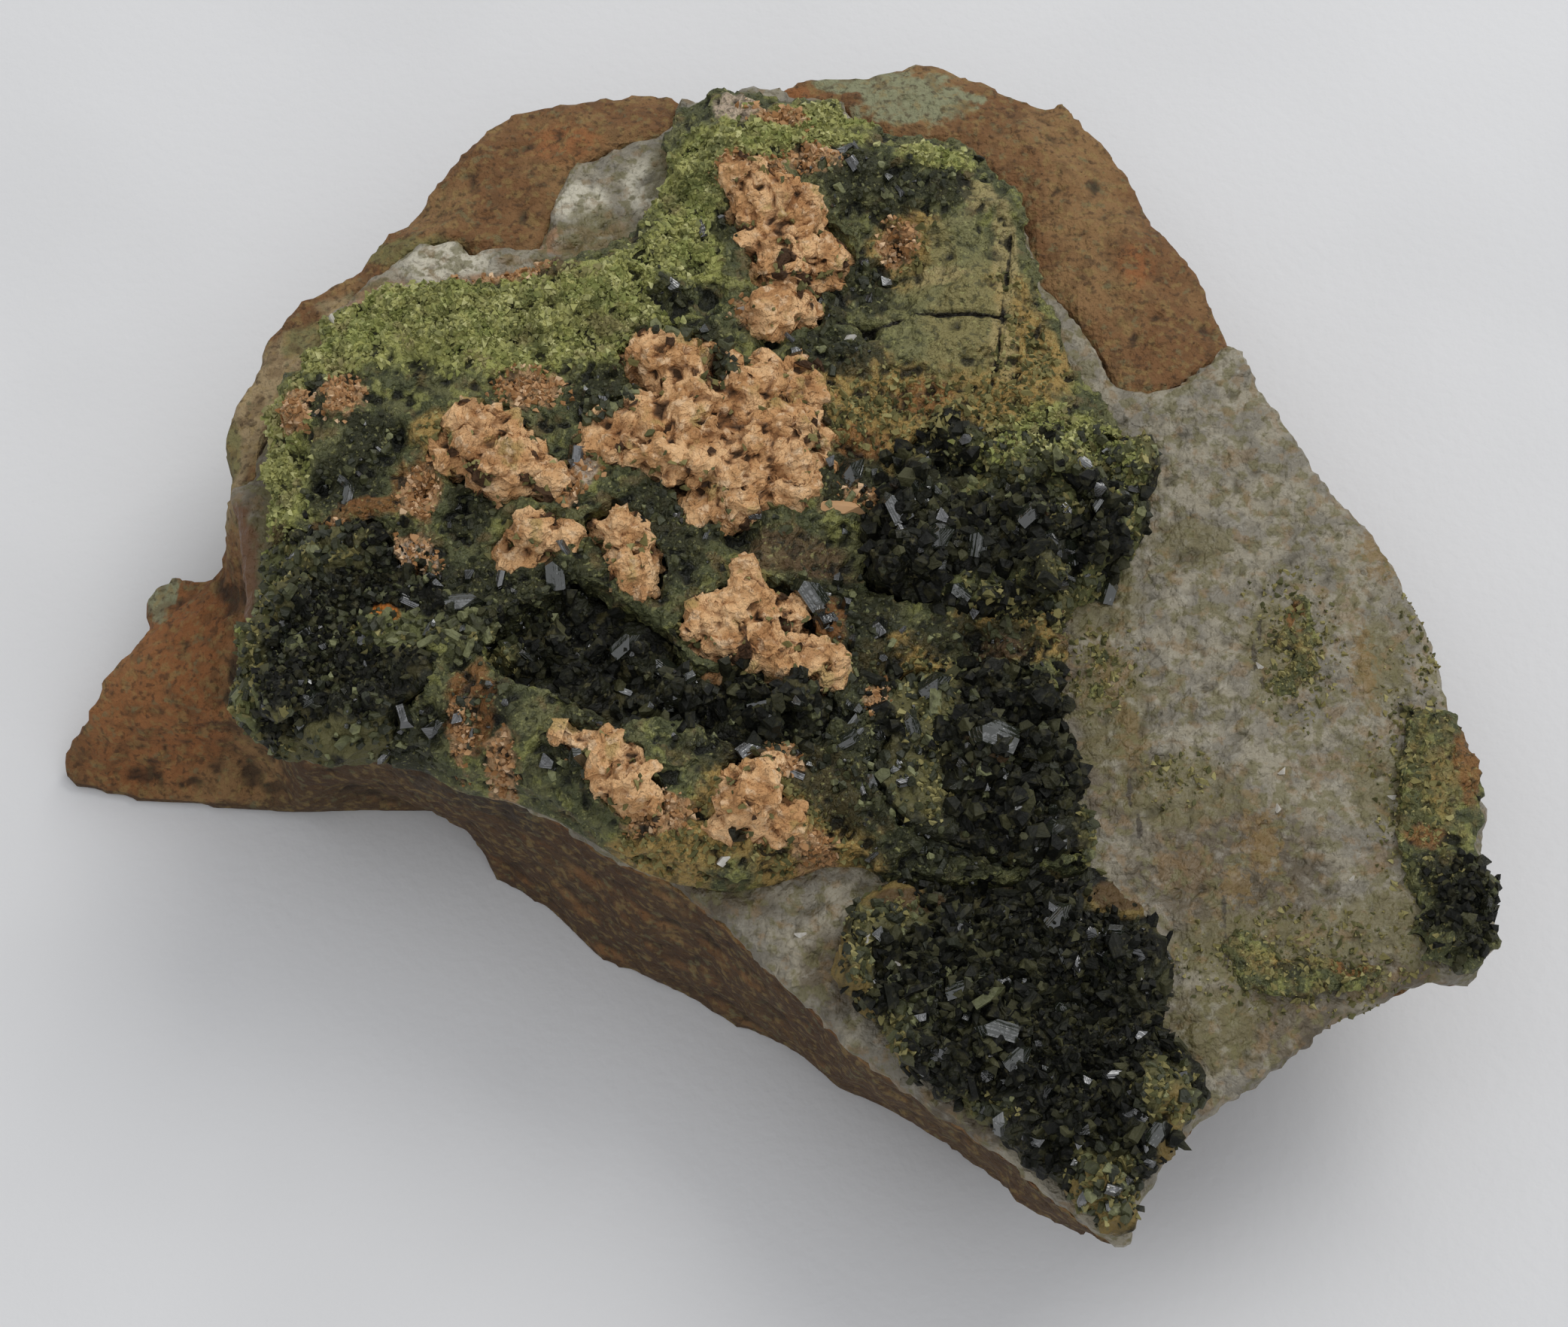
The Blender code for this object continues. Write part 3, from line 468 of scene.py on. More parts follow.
# vein quartz: grey-white, slightly milky, broken rough, so it has a soft sheen; its pits get painted shade
veinQuartz = makeMineral("veinQuartz", {
    "base": "767062",
    "layers": [
        stain("928A76", 3.2, (0.42, 0.58), 0.8, detail=4.0),
        stain("C8C2AE", 2.4, (0.22, 0.60), 0.8, "pale"),
        stain("4B3E28", 1.8, (0.34, 0.66), 0.8, "brown", detail=3.0),
        stain("936C48", 1.4, (0.36, 0.60), 0.8, "tan", detail=3.0),
        stain("675F3C", 1.2, (0.36, 0.62), 0.8, "olive", detail=3.0),
        stain("74592F", 0.7, (0.46, 0.62), 0.42, "rust", detail=5.0, ragged=1.4),
        stain("66603C", 1.1, (0.50, 0.60), 0.75, detail=5.0),
        stain("7D6440", 1.3, (0.54, 0.64), 0.5, detail=5.0),
        stain("A5A092", 1.0, (0.54, 0.72), 0.35, detail=5.0),
        stain("544B33", 0.6, (0.57, 0.70), 0.55, detail=4.0),
        # dark in the hollows: painted shade
        stain("3C3624", 0.9, (0.58, 0.86), 0.6, "hollow", ragged=0.25),
        stain("68482D", 1.2, (0.34, 0.52), 0.92, "host", detail=4.0),
        stain("7A602F", 0.6, (0.50, 0.66), 0.5, "ember", detail=5.0, ragged=2.0),
        # near black along the cracks, which have no relief here: painted shade
        stain("2A2116", 0.5, (0.45, 0.70), 0.75, "crack", ragged=0.9),
    ],
    "roughness": (0.8, 0.70, 0.42),
    "specular": 0.45,
    "bumps": [
        bump(0.60, 0.34, 4.0),
        bump(0.9, 0.16, cells=True),
    ],
})
finishPiece(quartzSheet, veinQuartz, "quartz", "quartz_layer")

# epidote crust: granular, with ledges, pits, tan and rusty patches
print("epidote crust")
crustSettings = {
    "voxel": 0.36, "smoothing": (0.5, 5), "sink": (0.2, 0.7), "hollow": (10, 0.45),
    # relief starts at a height and is full over a length, and the flat area has less of it
    "top": (22.6, 1.0), "flatCalm": 0.6,
    "relief": [
        lumps(3.2, 1.7, group="top"),
        pits(1.9, -1.2, group="rough"),
        pits(3.0, -2.4, middle=0.45, detail=0, group="mossy"),
        lumps(1.5, 0.9, group="mossy"),
        grit(0.9, 0.7, group="rough"),
        pits(0.75, -0.45, detail=0, group="rough"),
    ],
    # pits and cracks are cut only above a floor
    "floor": 23.5, "pitShape": -1.4, "crackWidth": 0.30, "crackDepth": 0.45,
    "mossSpots": [
        (-30, 23, 6.5, 4.5), (-22, 22.5, 7, 5), (-14, 23.5, 6, 4.5), (-37.5, 15, 2.4, 3),
        (-38, 9.5, 2.4, 4.5), (-6, 35, 4.5, 4), (1, 40.5, 5, 2.6), (-8.5, 29, 3.5, 2.4),
        (12, 39.4, 3, 1.2), (-5, 38, 4, 3), (-7, 32, 2.6, 3), (20.5, 14.2, 4, 2.6), (24.5, 13, 2.4, 2.4),
        (-9.5, 20.5, 2.5, 3), (3.5, 43.5, 4, 1.2), (-34, 20, 3, 3),
    ],
    "darkSpots": [
        (-3.8, 32.2, 2.2, 2), (-8.7, 25.2, 1.6, 1.5), (-6.6, 22, 1.8, 1.5), (5, 37.2, 2.6, 3),
        (9, 36.2, 2.6, 2.3), (12.3, 36.4, 2.2, 1.6), (6.6, 28.5, 1.8, 2.8), (3.5, 26.5, 1.3, 3),
        (4.4, 21.2, 3.4, 2), (-35.3, 15.5, 0.8, 2.2), (-31, 12, 2.4, 2.4), (-16.4, 8.5, 1.2, 2.2),
        (-23.7, 6.7, 1.6, 2.4), (-13.6, 15.8, 2.6, 2.6), (-6.5, 6.6, 5.4, 2.6), (5.2, 10.4, 3, 2.4),
        (-33, 8.5, 3, 2), (-20, 0, 6, 3), (-28, 0, 5, 4), (-14, -13, 3, 3), (-2, -12.5, 5, 2),
        (3, -11, 5, 5), (6, -14, 4, 4), (5, -3, 4, 5), (14, -2.4, 5, 1.6), (-10, 3, 4, 3),
        (-22, -10, 3, 2), (12, -19.5, 6, 1.6), (-30, -11, 6, 2), (3, 1, 3, 2),
    ],
    "oliveSpots": [
        (7.5, 16.5, 5.4, 4.1), (17, 17, 3, 3), (0, -16, 5, 4), (2.5, -20.5, 4, 2.5), (9, -4.5, 3, 2),
        (17, -1.5, 4, 2), (-8, -19.5, 4, 1.6), (15.5, 24, 4, 5), (20, 21, 2, 3), (21, -1, 2, 2),
        (10, 31, 3, 3), (-25, 12.6, 2.5, 1.6),
    ],
    "flatSpots": [(12.2, 25.2, 5.2, 5), (14, 31, 2.8, 3)],
    "rimSpots": [(17.4, 31, 1.1, 5), (15.4, 36.4, 1.6, 1.6), (17, 23, 1.0, 4), (12, 29, 2.4, 0.9)],
    "rustSpots": [
        (5.6, 13.8, 2.2, 1.5), (10.8, 18, 2.2, 1.5), (-27.6, 8, 1.8, 2.4), (-33.8, 4.4, 1.8, 1.4),
        (-22.6, -9.6, 1.8, 3), (8.5, -7, 1.8, 1.6), (3.4, -2, 1.2, 3), (-31, 6.4, 2.5, 1),
    ],
    "tanSpots": [
        (-19.2, 16.6, 2.4, 1.7), (-36.9, 14.6, 1.3, 1.8), (-33.4, 15.4, 1.5, 1.8), (-27.4, 7.8, 1.4, 2),
        (-33.6, 4.2, 1.4, 1.2), (-20.6, -13.6, 1.0, 2.0), (-23.4, -11, 1.0, 2.0), (-27.6, 2.4, 1.7, 1.6),
        (2.4, 38.6, 2.2, 1.4), (-2.6, 36.4, 2.6, 1.6), (-0.6, 42.4, 2.4, 1.0), (8.9, 32, 1.5, 1.6),
        (-1.6, 24.2, 2.2, 1.3), (-6.2, 18.2, 2, 1.4), (-14.6, 11, 1.2, 2), (-9, -17.6, 2.4, 1.2),
        (2.2, -5.2, 1.6, 2), (2.2, -19.2, 1.5, 1.2), (-24, 28, 5, 1.2),
        (6.4, 8.9, 2.0, 0.8), (-16, 8.2, 1.0, 1.6), (0, -13.4, 1.2, 1.4), (7.4, -7.8, 1.3, 1.4),
    ],
    "paleSpots": [(-27.2, 2.6, 1.4, 1.2), (-14.8, 10.2, 0.9, 2), (-31, 27.4, 5, 1.2), (-3.8, 43, 1.8, 1.6)],
    "brownSpots": [
        (0.8, 3.8, 4.2, 1.9), (-17.5, 27.5, 2, 1), (11, -10.5, 2.2, 2), (-38.2, 4, 1.2, 3), (16, -3, 2, 1),
        (21.5, -1, 1.4, 1.6), (14, 13.6, 1, 2),
    ],
    # small pits as x, y, radius, depth
    "pits": [
        (6.6, 24, 0.9, 2.2), (8.9, 32, 1.1, 1.4), (-27, 8.3, 0.9, 1.8), (-24.5, 9.3, 0.9, 1.5),
        (-15.5, 4.8, 0.8, 1.6), (-20.6, 4, 0.8, 1.6), (-8.6, 22.5, 1.0, 1.4), (-29, 12.6, 1.1, 1.5),
        (-3.4, 5, 2.0, 2.2), (-17.4, 0.6, 1.4, 1.6), (-24, -6, 1.2, 1.5), (2.6, -9, 1.2, 1.6),
        (8, -5, 1.2, 1.5), (-6, -17.6, 1.0, 1.4), (4, -17.6, 1.3, 1.6), (-26, -9.5, 1.0, 1.3),
        (-12, 26.8, 1.0, 1.2), (2.2, 32.4, 0.9, 1.3), (-1, 22.2, 1.0, 1.6), (6.5, 6.2, 1.0, 1.6),
        (14.6, -2.2, 1.4, 1.8), (18.5, -3, 1.1, 1.4), (-18, 13.5, 0.9, 1.3), (-34.6, 8.5, 1.0, 1.3),
    ],
    "cracks": [
        [(17.9, 33.4), (17.6, 30), (17.0, 25.2), (16.2, 19.8), (15.2, 17), (14.6, 15)],
        [(7.4, 24.5), (9.4, 25.2), (12, 25.4), (17, 25.3)],
        [(3.9, 23.9), (5.6, 24.2), (7.8, 24.7)], [(4.1, 24.0), (5.6, 24.3), (7.6, 24.6)],
    ],
}
epidoteCrust = takeNode("epidote_crust", "epidoteCrust")
sinkFoot(epidoteCrust, *crustSettings["sink"])
remesh(epidoteCrust, crustSettings)
places = placesOf(epidoteCrust)
isTop = ramp(places[:, 2], *crustSettings["top"])
flat = insideSpots(places, crustSettings["flatSpots"])
groupFrom(epidoteCrust, "top", isTop)
groupFrom(epidoteCrust, "mossy", isTop * insideSpots(places, crustSettings["mossSpots"]))
groupFrom(epidoteCrust, "rough", isTop * (1.0 - crustSettings["flatCalm"] * flat))
roughen(epidoteCrust, crustSettings["relief"])
places = placesOf(epidoteCrust)
for x, y, radius, depth in crustSettings["pits"]:
    away = np.hypot(places[:, 0] - x, places[:, 1] - y) / radius
    pit = np.exp(crustSettings["pitShape"] * away ** 2)
    places[:, 2] -= depth * pit * (places[:, 2] > crustSettings["floor"])
cracks = nearLines(places, crustSettings["cracks"], crustSettings["crackWidth"])
places[:, 2] -= crustSettings["crackDepth"] * cracks * (places[:, 2] > crustSettings["floor"])
moveTo(epidoteCrust, places)
keepSpots(epidoteCrust, places, crustSettings,
          "moss", "dark", "olive", "flat", "rim", "rust", "tan", "pale", "brown")
keepValue(epidoteCrust, "crack", cracks)
keepValue(epidoteCrust, "hollow", hollowOf(epidoteCrust, *crustSettings["hollow"]))
# granular epidote: a mass of tiny pistachio green prisms, dull from afar with fine glints
granularEpidote = makeMineral("granularEpidote", {
    "base": "4E5133",
    "layers": [
        stain("656440", 2.4, (0.45, 0.60), 0.8, detail=3.0),
        stain("85854A", 1.5, (0.52, 0.62), 0.7, detail=4.0),
        stain("6B5838", 1.9, (0.55, 0.65), 0.6, detail=4.0),
        stain("A0834A", 1.6, (0.30, 0.54), 0.88, "olive", detail=3.0),
        stain("77744C", 1.8, (0.38, 0.60), 0.8, "flat", detail=3.0),
        stain("A29264", 1.4, (0.42, 0.64), 0.75, "rim", detail=3.0),
        stain("999A56", 1.5, (0.36, 0.60), 0.95, "moss"),
        stain("BDB975", 1.1, (0.56, 0.95), 0.8, "moss", ragged=1.1),
        stain("292A17", 1.5, (0.38, 0.58), 0.88, "dark", ragged=0.8),
        stain("5A4630", 1.6, (0.40, 0.60), 0.85, "brown"),
        stain("7E542C", 1.2, (0.38, 0.60), 0.8, "rust", ragged=0.7),
        stain("AA8660", 1.2, (0.40, 0.56), 0.95, "tan", ragged=0.8),
        stain("B8A590", 1.2, (0.42, 0.58), 0.9, "pale"),
        stain("2A2E1E", 0.6, (0.52, 0.64), 0.6, detail=3.0),
        stain("A09E66", 0.40, (0.58, 0.70), 0.5, detail=3.0),
        # near black in the hollows and in the cut cracks: painted shade
        stain("0D0F0A", 1.0, (0.56, 0.80), 0.9, "hollow", ragged=0.25),
        stain("17120B", 1.0, (0.42, 0.62), 0.8, "crack", ragged=0.2),
    ],
    "roughness": (0.7, 0.75, 0.45),
    "specular": 0.3,
    "bumps": [
        bump(0.42, 0.30),
        bump(0.40, 0.16, cells=True),
    ],
})
finishPiece(epidoteCrust, granularEpidote, "epidote_crust", "epidote_crust")

# feldspar patches: tan, iron stained, spongy
print("feldspar")
feldsparSettings = {
    "voxel": 0.235, "smoothing": (0.5, 5), "hollow": (10, 0.45),
    # the rim is pulled about sideways first, then calmed
    "drift": [lumps(2.1, 3.0, way="X"), lumps(2.6, 3.0, way="Y")],
    "calming": (0.5, 3),
    "relief": [
        pits(3.2, -2.2, middle=0.45, detail=0, swell=0.75),
        pits(1.2, -0.90, middle=0.45, detail=0),
        pits(0.8, -0.65, middle=0.45, detail=0),
        grit(1.7, 0.9),
    ],
    # places where dark epidote cuts into a patch, down to a height above its foot
    "notchSpots": [(-13.4, 16.3, 1.1, 1.2), (-5.2, 18.6, 0.7, 1.6), (-7.4, 22.4, 1.0, 1.0)],
    "notchTrim": 0.5, "notchDepth": 2.6, "notchFloor": 3.0,
    "nodes": {
        "feldspar_centre": "feldsparCentre", "feldspar_upper": "feldsparUpper",
        "feldspar_left": "feldsparLeft", "feldspar_left_small": "feldsparLeftSmall",
        "feldspar_diagonal": "feldsparDiagonal", "feldspar_lower_centre": "feldsparLowerCentre",
        "feldspar_bottom": "feldsparBottom", "feldspar_bottom_right": "feldsparBottomRight",
    },
}
# potassium feldspar weathered to a crumbly tan sponge: matt, with rust in its pits and painted shade in the
# deepest ones
ironStainedFeldspar = makeMineral("ironStainedFeldspar", {
    "base": "C09262",
    "layers": [
        stain("DFB686", 2.2, (0.42, 0.58), 0.85, detail=4.0),
        stain("9C6E44", 2.8, (0.50, 0.64), 0.65, detail=4.0),
        stain("9A8A50", 2.4, (0.57, 0.67), 0.55, detail=4.0),
        stain("E8CAA4", 0.8, (0.53, 0.68), 0.6, detail=5.0),
        stain("84552F", 0.8, (0.54, 0.72), 0.65, "hollow", ragged=0.35),
        # near black in the deepest hollows: painted shade
        stain("2C1D11", 0.8, (0.66, 0.88), 0.9, "hollow", ragged=0.25),
    ],
    "roughness": 0.9,
    "specular": 0.3,
    "bumps": [
        bump(0.5, 0.30, 3.0),
        bump(0.5, 0.22, cells=True),
    ],
})
for nodeName, pieceName in feldsparSettings["nodes"].items():
    patch = takeNode(nodeName, pieceName)
    remesh(patch, feldsparSettings)
    roughen(patch, feldsparSettings["drift"])
    smooth(patch, *feldsparSettings["calming"])
    roughen(patch, feldsparSettings["relief"])
    places = placesOf(patch)
    notch = insideSpots(places, feldsparSettings["notchSpots"], feldsparSettings["notchTrim"])
    isHigh = places[:, 2] > places[:, 2].min() + feldsparSettings["notchFloor"]
    places[:, 2] -= feldsparSettings["notchDepth"] * notch * isHigh
    moveTo(patch, places)
    keepValue(patch, "hollow", hollowOf(patch, *feldsparSettings["hollow"]))
    finishPiece(patch, ironStainedFeldspar, "feldspar", nodeName)

# crystal beds
print("crystal beds")
bedSettings = {
    "voxel": 0.32, "smoothing": (0.5, 1), "hollow": (8, 0.4),
    "relief": [
        lumps(4.2, 2.4, detail=1, swell=0.35),
        lumps(1.6, 0.9, detail=1),
        pits(0.9, -0.45),
    ],
    "nodes": {
        "central_crystals": "centralCrystals", "left_crystals": "leftCrystals",
        "upper_right_crystals": "upperRightCrystals", "middle_crystals": "middleCrystals",
        "lower_crystals": "lowerCrystals",
    },
    "greenSpots": [
        (-38, 1, 2, 4), (-34, 3, 3, 1.6), (-39.5, -5, 1.4, 3), (-33, -11.4, 6, 1.2), (24, 12, 3.4, 2.4),
        (17, 11, 3, 2.4), (22, 1.6, 3, 1.6), (10, -14, 2.4, 3), (5.6, -27, 1.0, 3), (8, -33, 1.0, 2.5),
        (14, -38.6, 2.5, 1.0), (22.5, -44, 2.4, 3.0), (7.5, -24, 3, 1.4), (27, -38, 2, 3), (10, -8.6, 2, 2),
        (23.5, -17, 1.6, 3), (-21, -4.4, 1.6, 1.6), (10.4, -7.6, 2.6, 2.6),
    ],
    "rimSpots": [
        (-40.4, 3, 0.9, 3.6), (-37.8, 2.8, 2, 2), (-40.6, -2.5, 0.9, 3), (-39.6, -8, 1.2, 2),
        (-29, -3.4, 3, 1.6), (20, 12.4, 6, 1.8), (25.8, 10.4, 1.4, 2.6), (26.2, 6.4, 0.8, 2.6),
        (23.4, 1.5, 1.6, 2.2), (21, 8.2, 1.4, 2), (15, 1.8, 3, 1.0), (14.4, 9.6, 0.9, 1.6),
    ],
    "orangeSpots": [(-29.8, -2.0, 1.4, 0.8)],
    "yellowSpots": [
        (3.6, -27, 1.0, 3), (5.4, -31.5, 1.2, 3), (7.6, -36.5, 1.4, 3), (11.5, -40.5, 3, 1.0),
        (22, -45.6, 4, 2), (27.4, -41, 1.2, 3), (24.5, -23, 2.6, 1.2), (8, -22.6, 2.4, 1.2),
    ],
    "brownSpots": [(18.8, 6.6, 1.2, 1.0), (14.5, -12.4, 2.6, 1.2), (24.4, -22.6, 2.2, 1.2), (9, -23, 3, 1)],
}
# epidote: dark green prisms, IOR 1.73 to 1.77, glassy faces, lighter where they are thin
epidoteCrystal = makeMineral("epidoteCrystal", {
    "base": "13130B",
    "layers": [
        stain("2B2C1D", 1.8, (0.44, 0.60), 0.85, detail=3.0),
        stain("4A4529", 2.2, (0.56, 0.68), 0.75, detail=4.0),
        stain("5E5A38", 1.3, (0.38, 0.60), 0.85, "green", ragged=0.8),
        stain("6C6F45", 1.2, (0.36, 0.60), 0.85, "rim", detail=3.0),
        stain("7E6A3C", 1.2, (0.36, 0.60), 0.8, "yellow", detail=3.0),
        stain("4E3B26", 1.3, (0.42, 0.60), 0.85, "brown"),
        stain("C8772B", 0.8, (0.42, 0.60), 0.9, "orange"),
        stain("5C573A", 0.6, (0.57, 0.68), 0.6, detail=3.0),
        # near black in the hollows: painted shade
        stain("070806", 1.0, (0.54, 0.80), 0.9, "hollow", ragged=0.25),
    ],
    "roughness": (0.9, 0.70, 0.45),
    "ior": 1.75,
    "specular": 0.12,
    "bumps": [
        bump(0.5, 0.22),
        bump(0.5, 0.12, cells=True),
    ],
})
for nodeName, pieceName in bedSettings["nodes"].items():
    bed = takeNode(nodeName, pieceName)
    remesh(bed, bedSettings)
    roughen(bed, bedSettings["relief"])
    keepSpots(bed, placesOf(bed), bedSettings, "green", "brown", "rim", "yellow", "orange")
    keepValue(bed, "hollow", hollowOf(bed, *bedSettings["hollow"]))
    finishPiece(bed, epidoteCrystal, "epidote_crystals", nodeName)

# epidote left on the quartz, and the strip along the right edge
print("edge strip and patches")
stripSettings = {
    "voxel": 0.34, "smoothing": (0.6, 9), "sink": (0.2, 0.6), "hollow": (8, 0.35), "patchHeight": 0.75,
    "drift": [lumps(2.0, 2.6, way="X"), lumps(2.5, 2.6, way="Y")],
    "calming": (0.6, 4),
    "relief": [
        lumps(2.4, 1.3, detail=1),
        pits(1.2, -0.8),
    ],
    "nodes": {
        "right_edge_crystals": ("rightEdgeCrystals", "epidote_crystals"),
        "epidote_patch_upper": ("epidotePatchUpper", "epidote_crust"),
        "epidote_patch_inner": ("epidotePatchInner", "epidote_crust"),
        "epidote_patch_lower": ("epidotePatchLower", "epidote_crust"),
    },
    "darkSpots": [(49.5, -23.5, 2.6, 3.6), (47, -20, 1.0, 1.6), (36.6, -1.4, 0.6, 2), (37, -27.6, 1.2, 0.8)],
    "oliveSpots": [(48.5, -13, 4, 8), (38, -2, 3, 5), (24, -4, 2, 4), (37, -27, 8, 3)], "oliveShare": 0.45,
    "rustSpots": [(50.5, -12, 1, 3), (47, -17.5, 1.6, 1), (38.6, 0.6, 0.8, 1.4), (41, -27.4, 1.6, 0.8)],
}
for nodeName, (pieceName, slotName) in stripSettings["nodes"].items():
    strip = takeNode(nodeName, pieceName)
    squash = stripSettings["patchHeight"] if "patch" in nodeName else 1.0
    sinkFoot(strip, *stripSettings["sink"], squash)
    remesh(strip, stripSettings)
    roughen(strip, stripSettings["drift"])
    smooth(strip, *stripSettings["calming"])
    roughen(strip, stripSettings["relief"])
    places = placesOf(strip)
    keepSpots(strip, places, stripSettings, "dark", "rust")
    for name in ("olive", "flat"):
        keepValue(strip, name, stripSettings["oliveShare"] * nearSpots(places, stripSettings["oliveSpots"]))
    keepValue(strip, "hollow", hollowOf(strip, *stripSettings["hollow"]))
    finishPiece(strip, granularEpidote, slotName, nodeName)

# small crystals and grains
print("small crystals")


def makePrism(name, settings):
    # a prism cut by sloping end faces, standing on the origin with unit length; a cut is slope, height
    sideways = 0.12
    bpy.ops.mesh.primitive_cylinder_add(
        vertices=settings["sides"], radius=0.5, depth=1.0, location=(0, 0, 0.5)
    )
    prism = bpy.context.object
    prism.name = name
    bpy.ops.object.transform_apply(location=True, rotation=True, scale=True)
    bpy.ops.object.mode_set(mode="EDIT")
    for slope, height in settings["cuts"]:
        slope = math.radians(slope)
        bpy.ops.mesh.select_all(action="SELECT")
        bpy.ops.mesh.bisect(
            plane_co=(0, 0, height), plane_no=(math.sin(slope), sideways, math.cos(slope)),
            use_fill=True, clear_outer=True,
        )
    bpy.ops.mesh.select_all(action="SELECT")
    bpy.ops.transform.resize(value=(1.0, settings["thin"], 1.0), center_override=(0, 0, 0))
    bpy.ops.object.mode_set(mode="OBJECT")
    return prism


def strew(name, shape, grounds, stone, slotName, settings):
    # copies of a shape over the ground pieces, thickest in the given spots, as one mesh;
    # few is how rare the long ones are, sink the share of a copy that is in the ground
    dice = np.random.default_rng(settings["seed"])
    corners = []
    for ground in grounds:
        ground.data.calc_loop_triangles()
        triangles = np.empty(len(ground.data.loop_triangles) * 3, dtype=np.int64)
        ground.data.loop_triangles.foreach_get("vertices", triangles)
        corners.append(placesOf(ground)[triangles.reshape(-1, 3)])
    corners = np.concatenate(corners)
    middle = corners.mean(axis=1)
    normal = np.cross(corners[:, 1] - corners[:, 0], corners[:, 2] - corners[:, 0])
    area = np.linalg.norm(normal, axis=1) / 2 + 1e-12
    normal = normal / (2 * area[:, None])
    # walls take steep ground only, and the rest what faces up or out
    if settings.get("walls"):
        chance = area * np.clip(1.0 - 1.6 * normal[:, 2], 0.0, 1.0)
    else:
        chance = area * np.clip((normal[:, 2] + 0.15) * 2.0, 0.0, 1.0)
    if "spots" in settings:
        chance *= insideSpots(middle, settings["spots"]) ** settings.get("fade", 1.0)
    if "keepOff" in settings:
        chance *= nearSpots(middle, settings["keepOff"]) < 0.5
    chance *= middle[:, 2] > settings.get("above", 0.0)
    count = settings["count"]
    chosen = dice.choice(len(middle), size=count, p=chance / chance.sum())
    share = dice.random((count, 2))
    share[share.sum(axis=1) > 1.0] = 1.0 - share[share.sum(axis=1) > 1.0]
    first, second = share[:, :1], share[:, 1:]
    a, b, c = (corners[chosen, corner] for corner in range(3))
    foot = a * (1 - first - second) + b * first + c * second
    # upright is the mean of the ground's own direction and straight up
    upright = normal[chosen] * 0.6 + np.array([0, 0, 0.4])
    axis = upright + dice.normal(0.0, 1.0, (count, 3)) * settings["lean"]
    axis /= np.linalg.norm(axis, axis=1)[:, None]
    side = np.cross(axis, dice.normal(0.0, 1.0, (count, 3)))
    side /= np.linalg.norm(side, axis=1)[:, None]
    other = np.cross(axis, side)
    low, high = settings["length"]
    length = low + (high - low) * dice.random(count) ** settings.get("few", 1.6)
    low, high = settings["width"]
    width = length * (low + (high - low) * dice.random(count))
    foot = foot - axis * (length * settings["sink"])[:, None]
    piece = buildCopies(
        name, shape, foot, side * width[:, None], other * width[:, None], axis * length[:, None],
        dice.random(count),
    )
    finishPiece(piece, stone, slotName)


def setCrystals(name, shape, grounds, stone, slotName, crystals):
    # crystals at listed places, each half sunk in whatever ground is highest there;
    # a crystal is x, y, length, width, heading, lift and, where its colour goes by it, a tone
    overhead, usualTone, rest = 60.0, 0.95, 0.15
    trees = [
        BVHTree.FromPolygons(placesOf(ground).tolist(), [face.vertices[:] for face in ground.data.polygons])
        for ground in grounds
    ]
    foot, side, other, along, tones = [], [], [], [], []
    for x, y, length, width, heading, lift, *tone in crystals:
        hits = [tree.ray_cast((x, y, overhead), (0, 0, -1))[0] for tree in trees]
        if not any(hits):
            continue
        level = max(hit.z for hit in hits if hit)
        turn, rise = math.radians(heading), math.radians(lift)
        flat = math.cos(rise)
        axis = np.array([math.cos(turn) * flat, math.sin(turn) * flat, math.sin(rise)])
        across = np.array([-math.sin(turn), math.cos(turn), 0.0])
        foot.append(np.array([x, y, level + rest * width]) - 0.5 * length * axis)
        side.append(across * width)
        other.append(np.cross(axis, across) * width)
        along.append(axis * length)
        tones.append(tone[0] if tone else usualTone)
    piece = buildCopies(name, shape, *map(np.array, (foot, side, other, along, tones)))
    finishPiece(piece, stone, slotName)


def buildCopies(name, shape, foot, side, other, along, tones):
    # one mesh of turned and scaled copies; each has its own tone, and a UV map along its length
    points = np.empty(len(shape.data.vertices) * 3)
    shape.data.vertices.foreach_get("co", points)
    points = points.reshape(-1, 3)
    count, each = len(foot), len(points)
    places = (
        foot[:, None, :] + points[None, :, :1] * side[:, None, :]
        + points[None, :, 1:2] * other[:, None, :] + points[None, :, 2:] * along[:, None, :]
    ).reshape(-1, 3)
    faces = []
    for start in range(0, count * each, each):
        faces += [[start + v for v in face.vertices] for face in shape.data.polygons]
    mesh = bpy.data.meshes.new(name)
    mesh.from_pydata((places * mm).tolist(), [], faces)
    piece = bpy.data.objects.new(name, mesh)
    bpy.context.scene.collection.objects.link(piece)
    keepValue(piece, "tone", np.repeat(tones, each))
    uvMap = mesh.uv_layers.new(name="lengthwise")
    loopVertex = np.empty(len(mesh.loops), dtype=np.int64)
    mesh.loops.foreach_get("vertex_index", loopVertex)
    own = points[loopVertex % each]
    # the streaks of each copy start elsewhere
    nextStart = 0.37
    turn = np.arctan2(own[:, 1], own[:, 0]) / math.tau + (loopVertex // each) * nextStart
    uvMap.data.foreach_set("uv", np.stack([turn, own[:, 2]], axis=1).ravel())
    return piece


slimPrism = makePrism("slimPrism", {"sides": 6, "cuts": [(24, 0.94), (-36, 0.88)], "thin": 0.80})
finePrism = makePrism("finePrism", {"sides": 3, "cuts": [(40, 0.80)], "thin": 0.9})

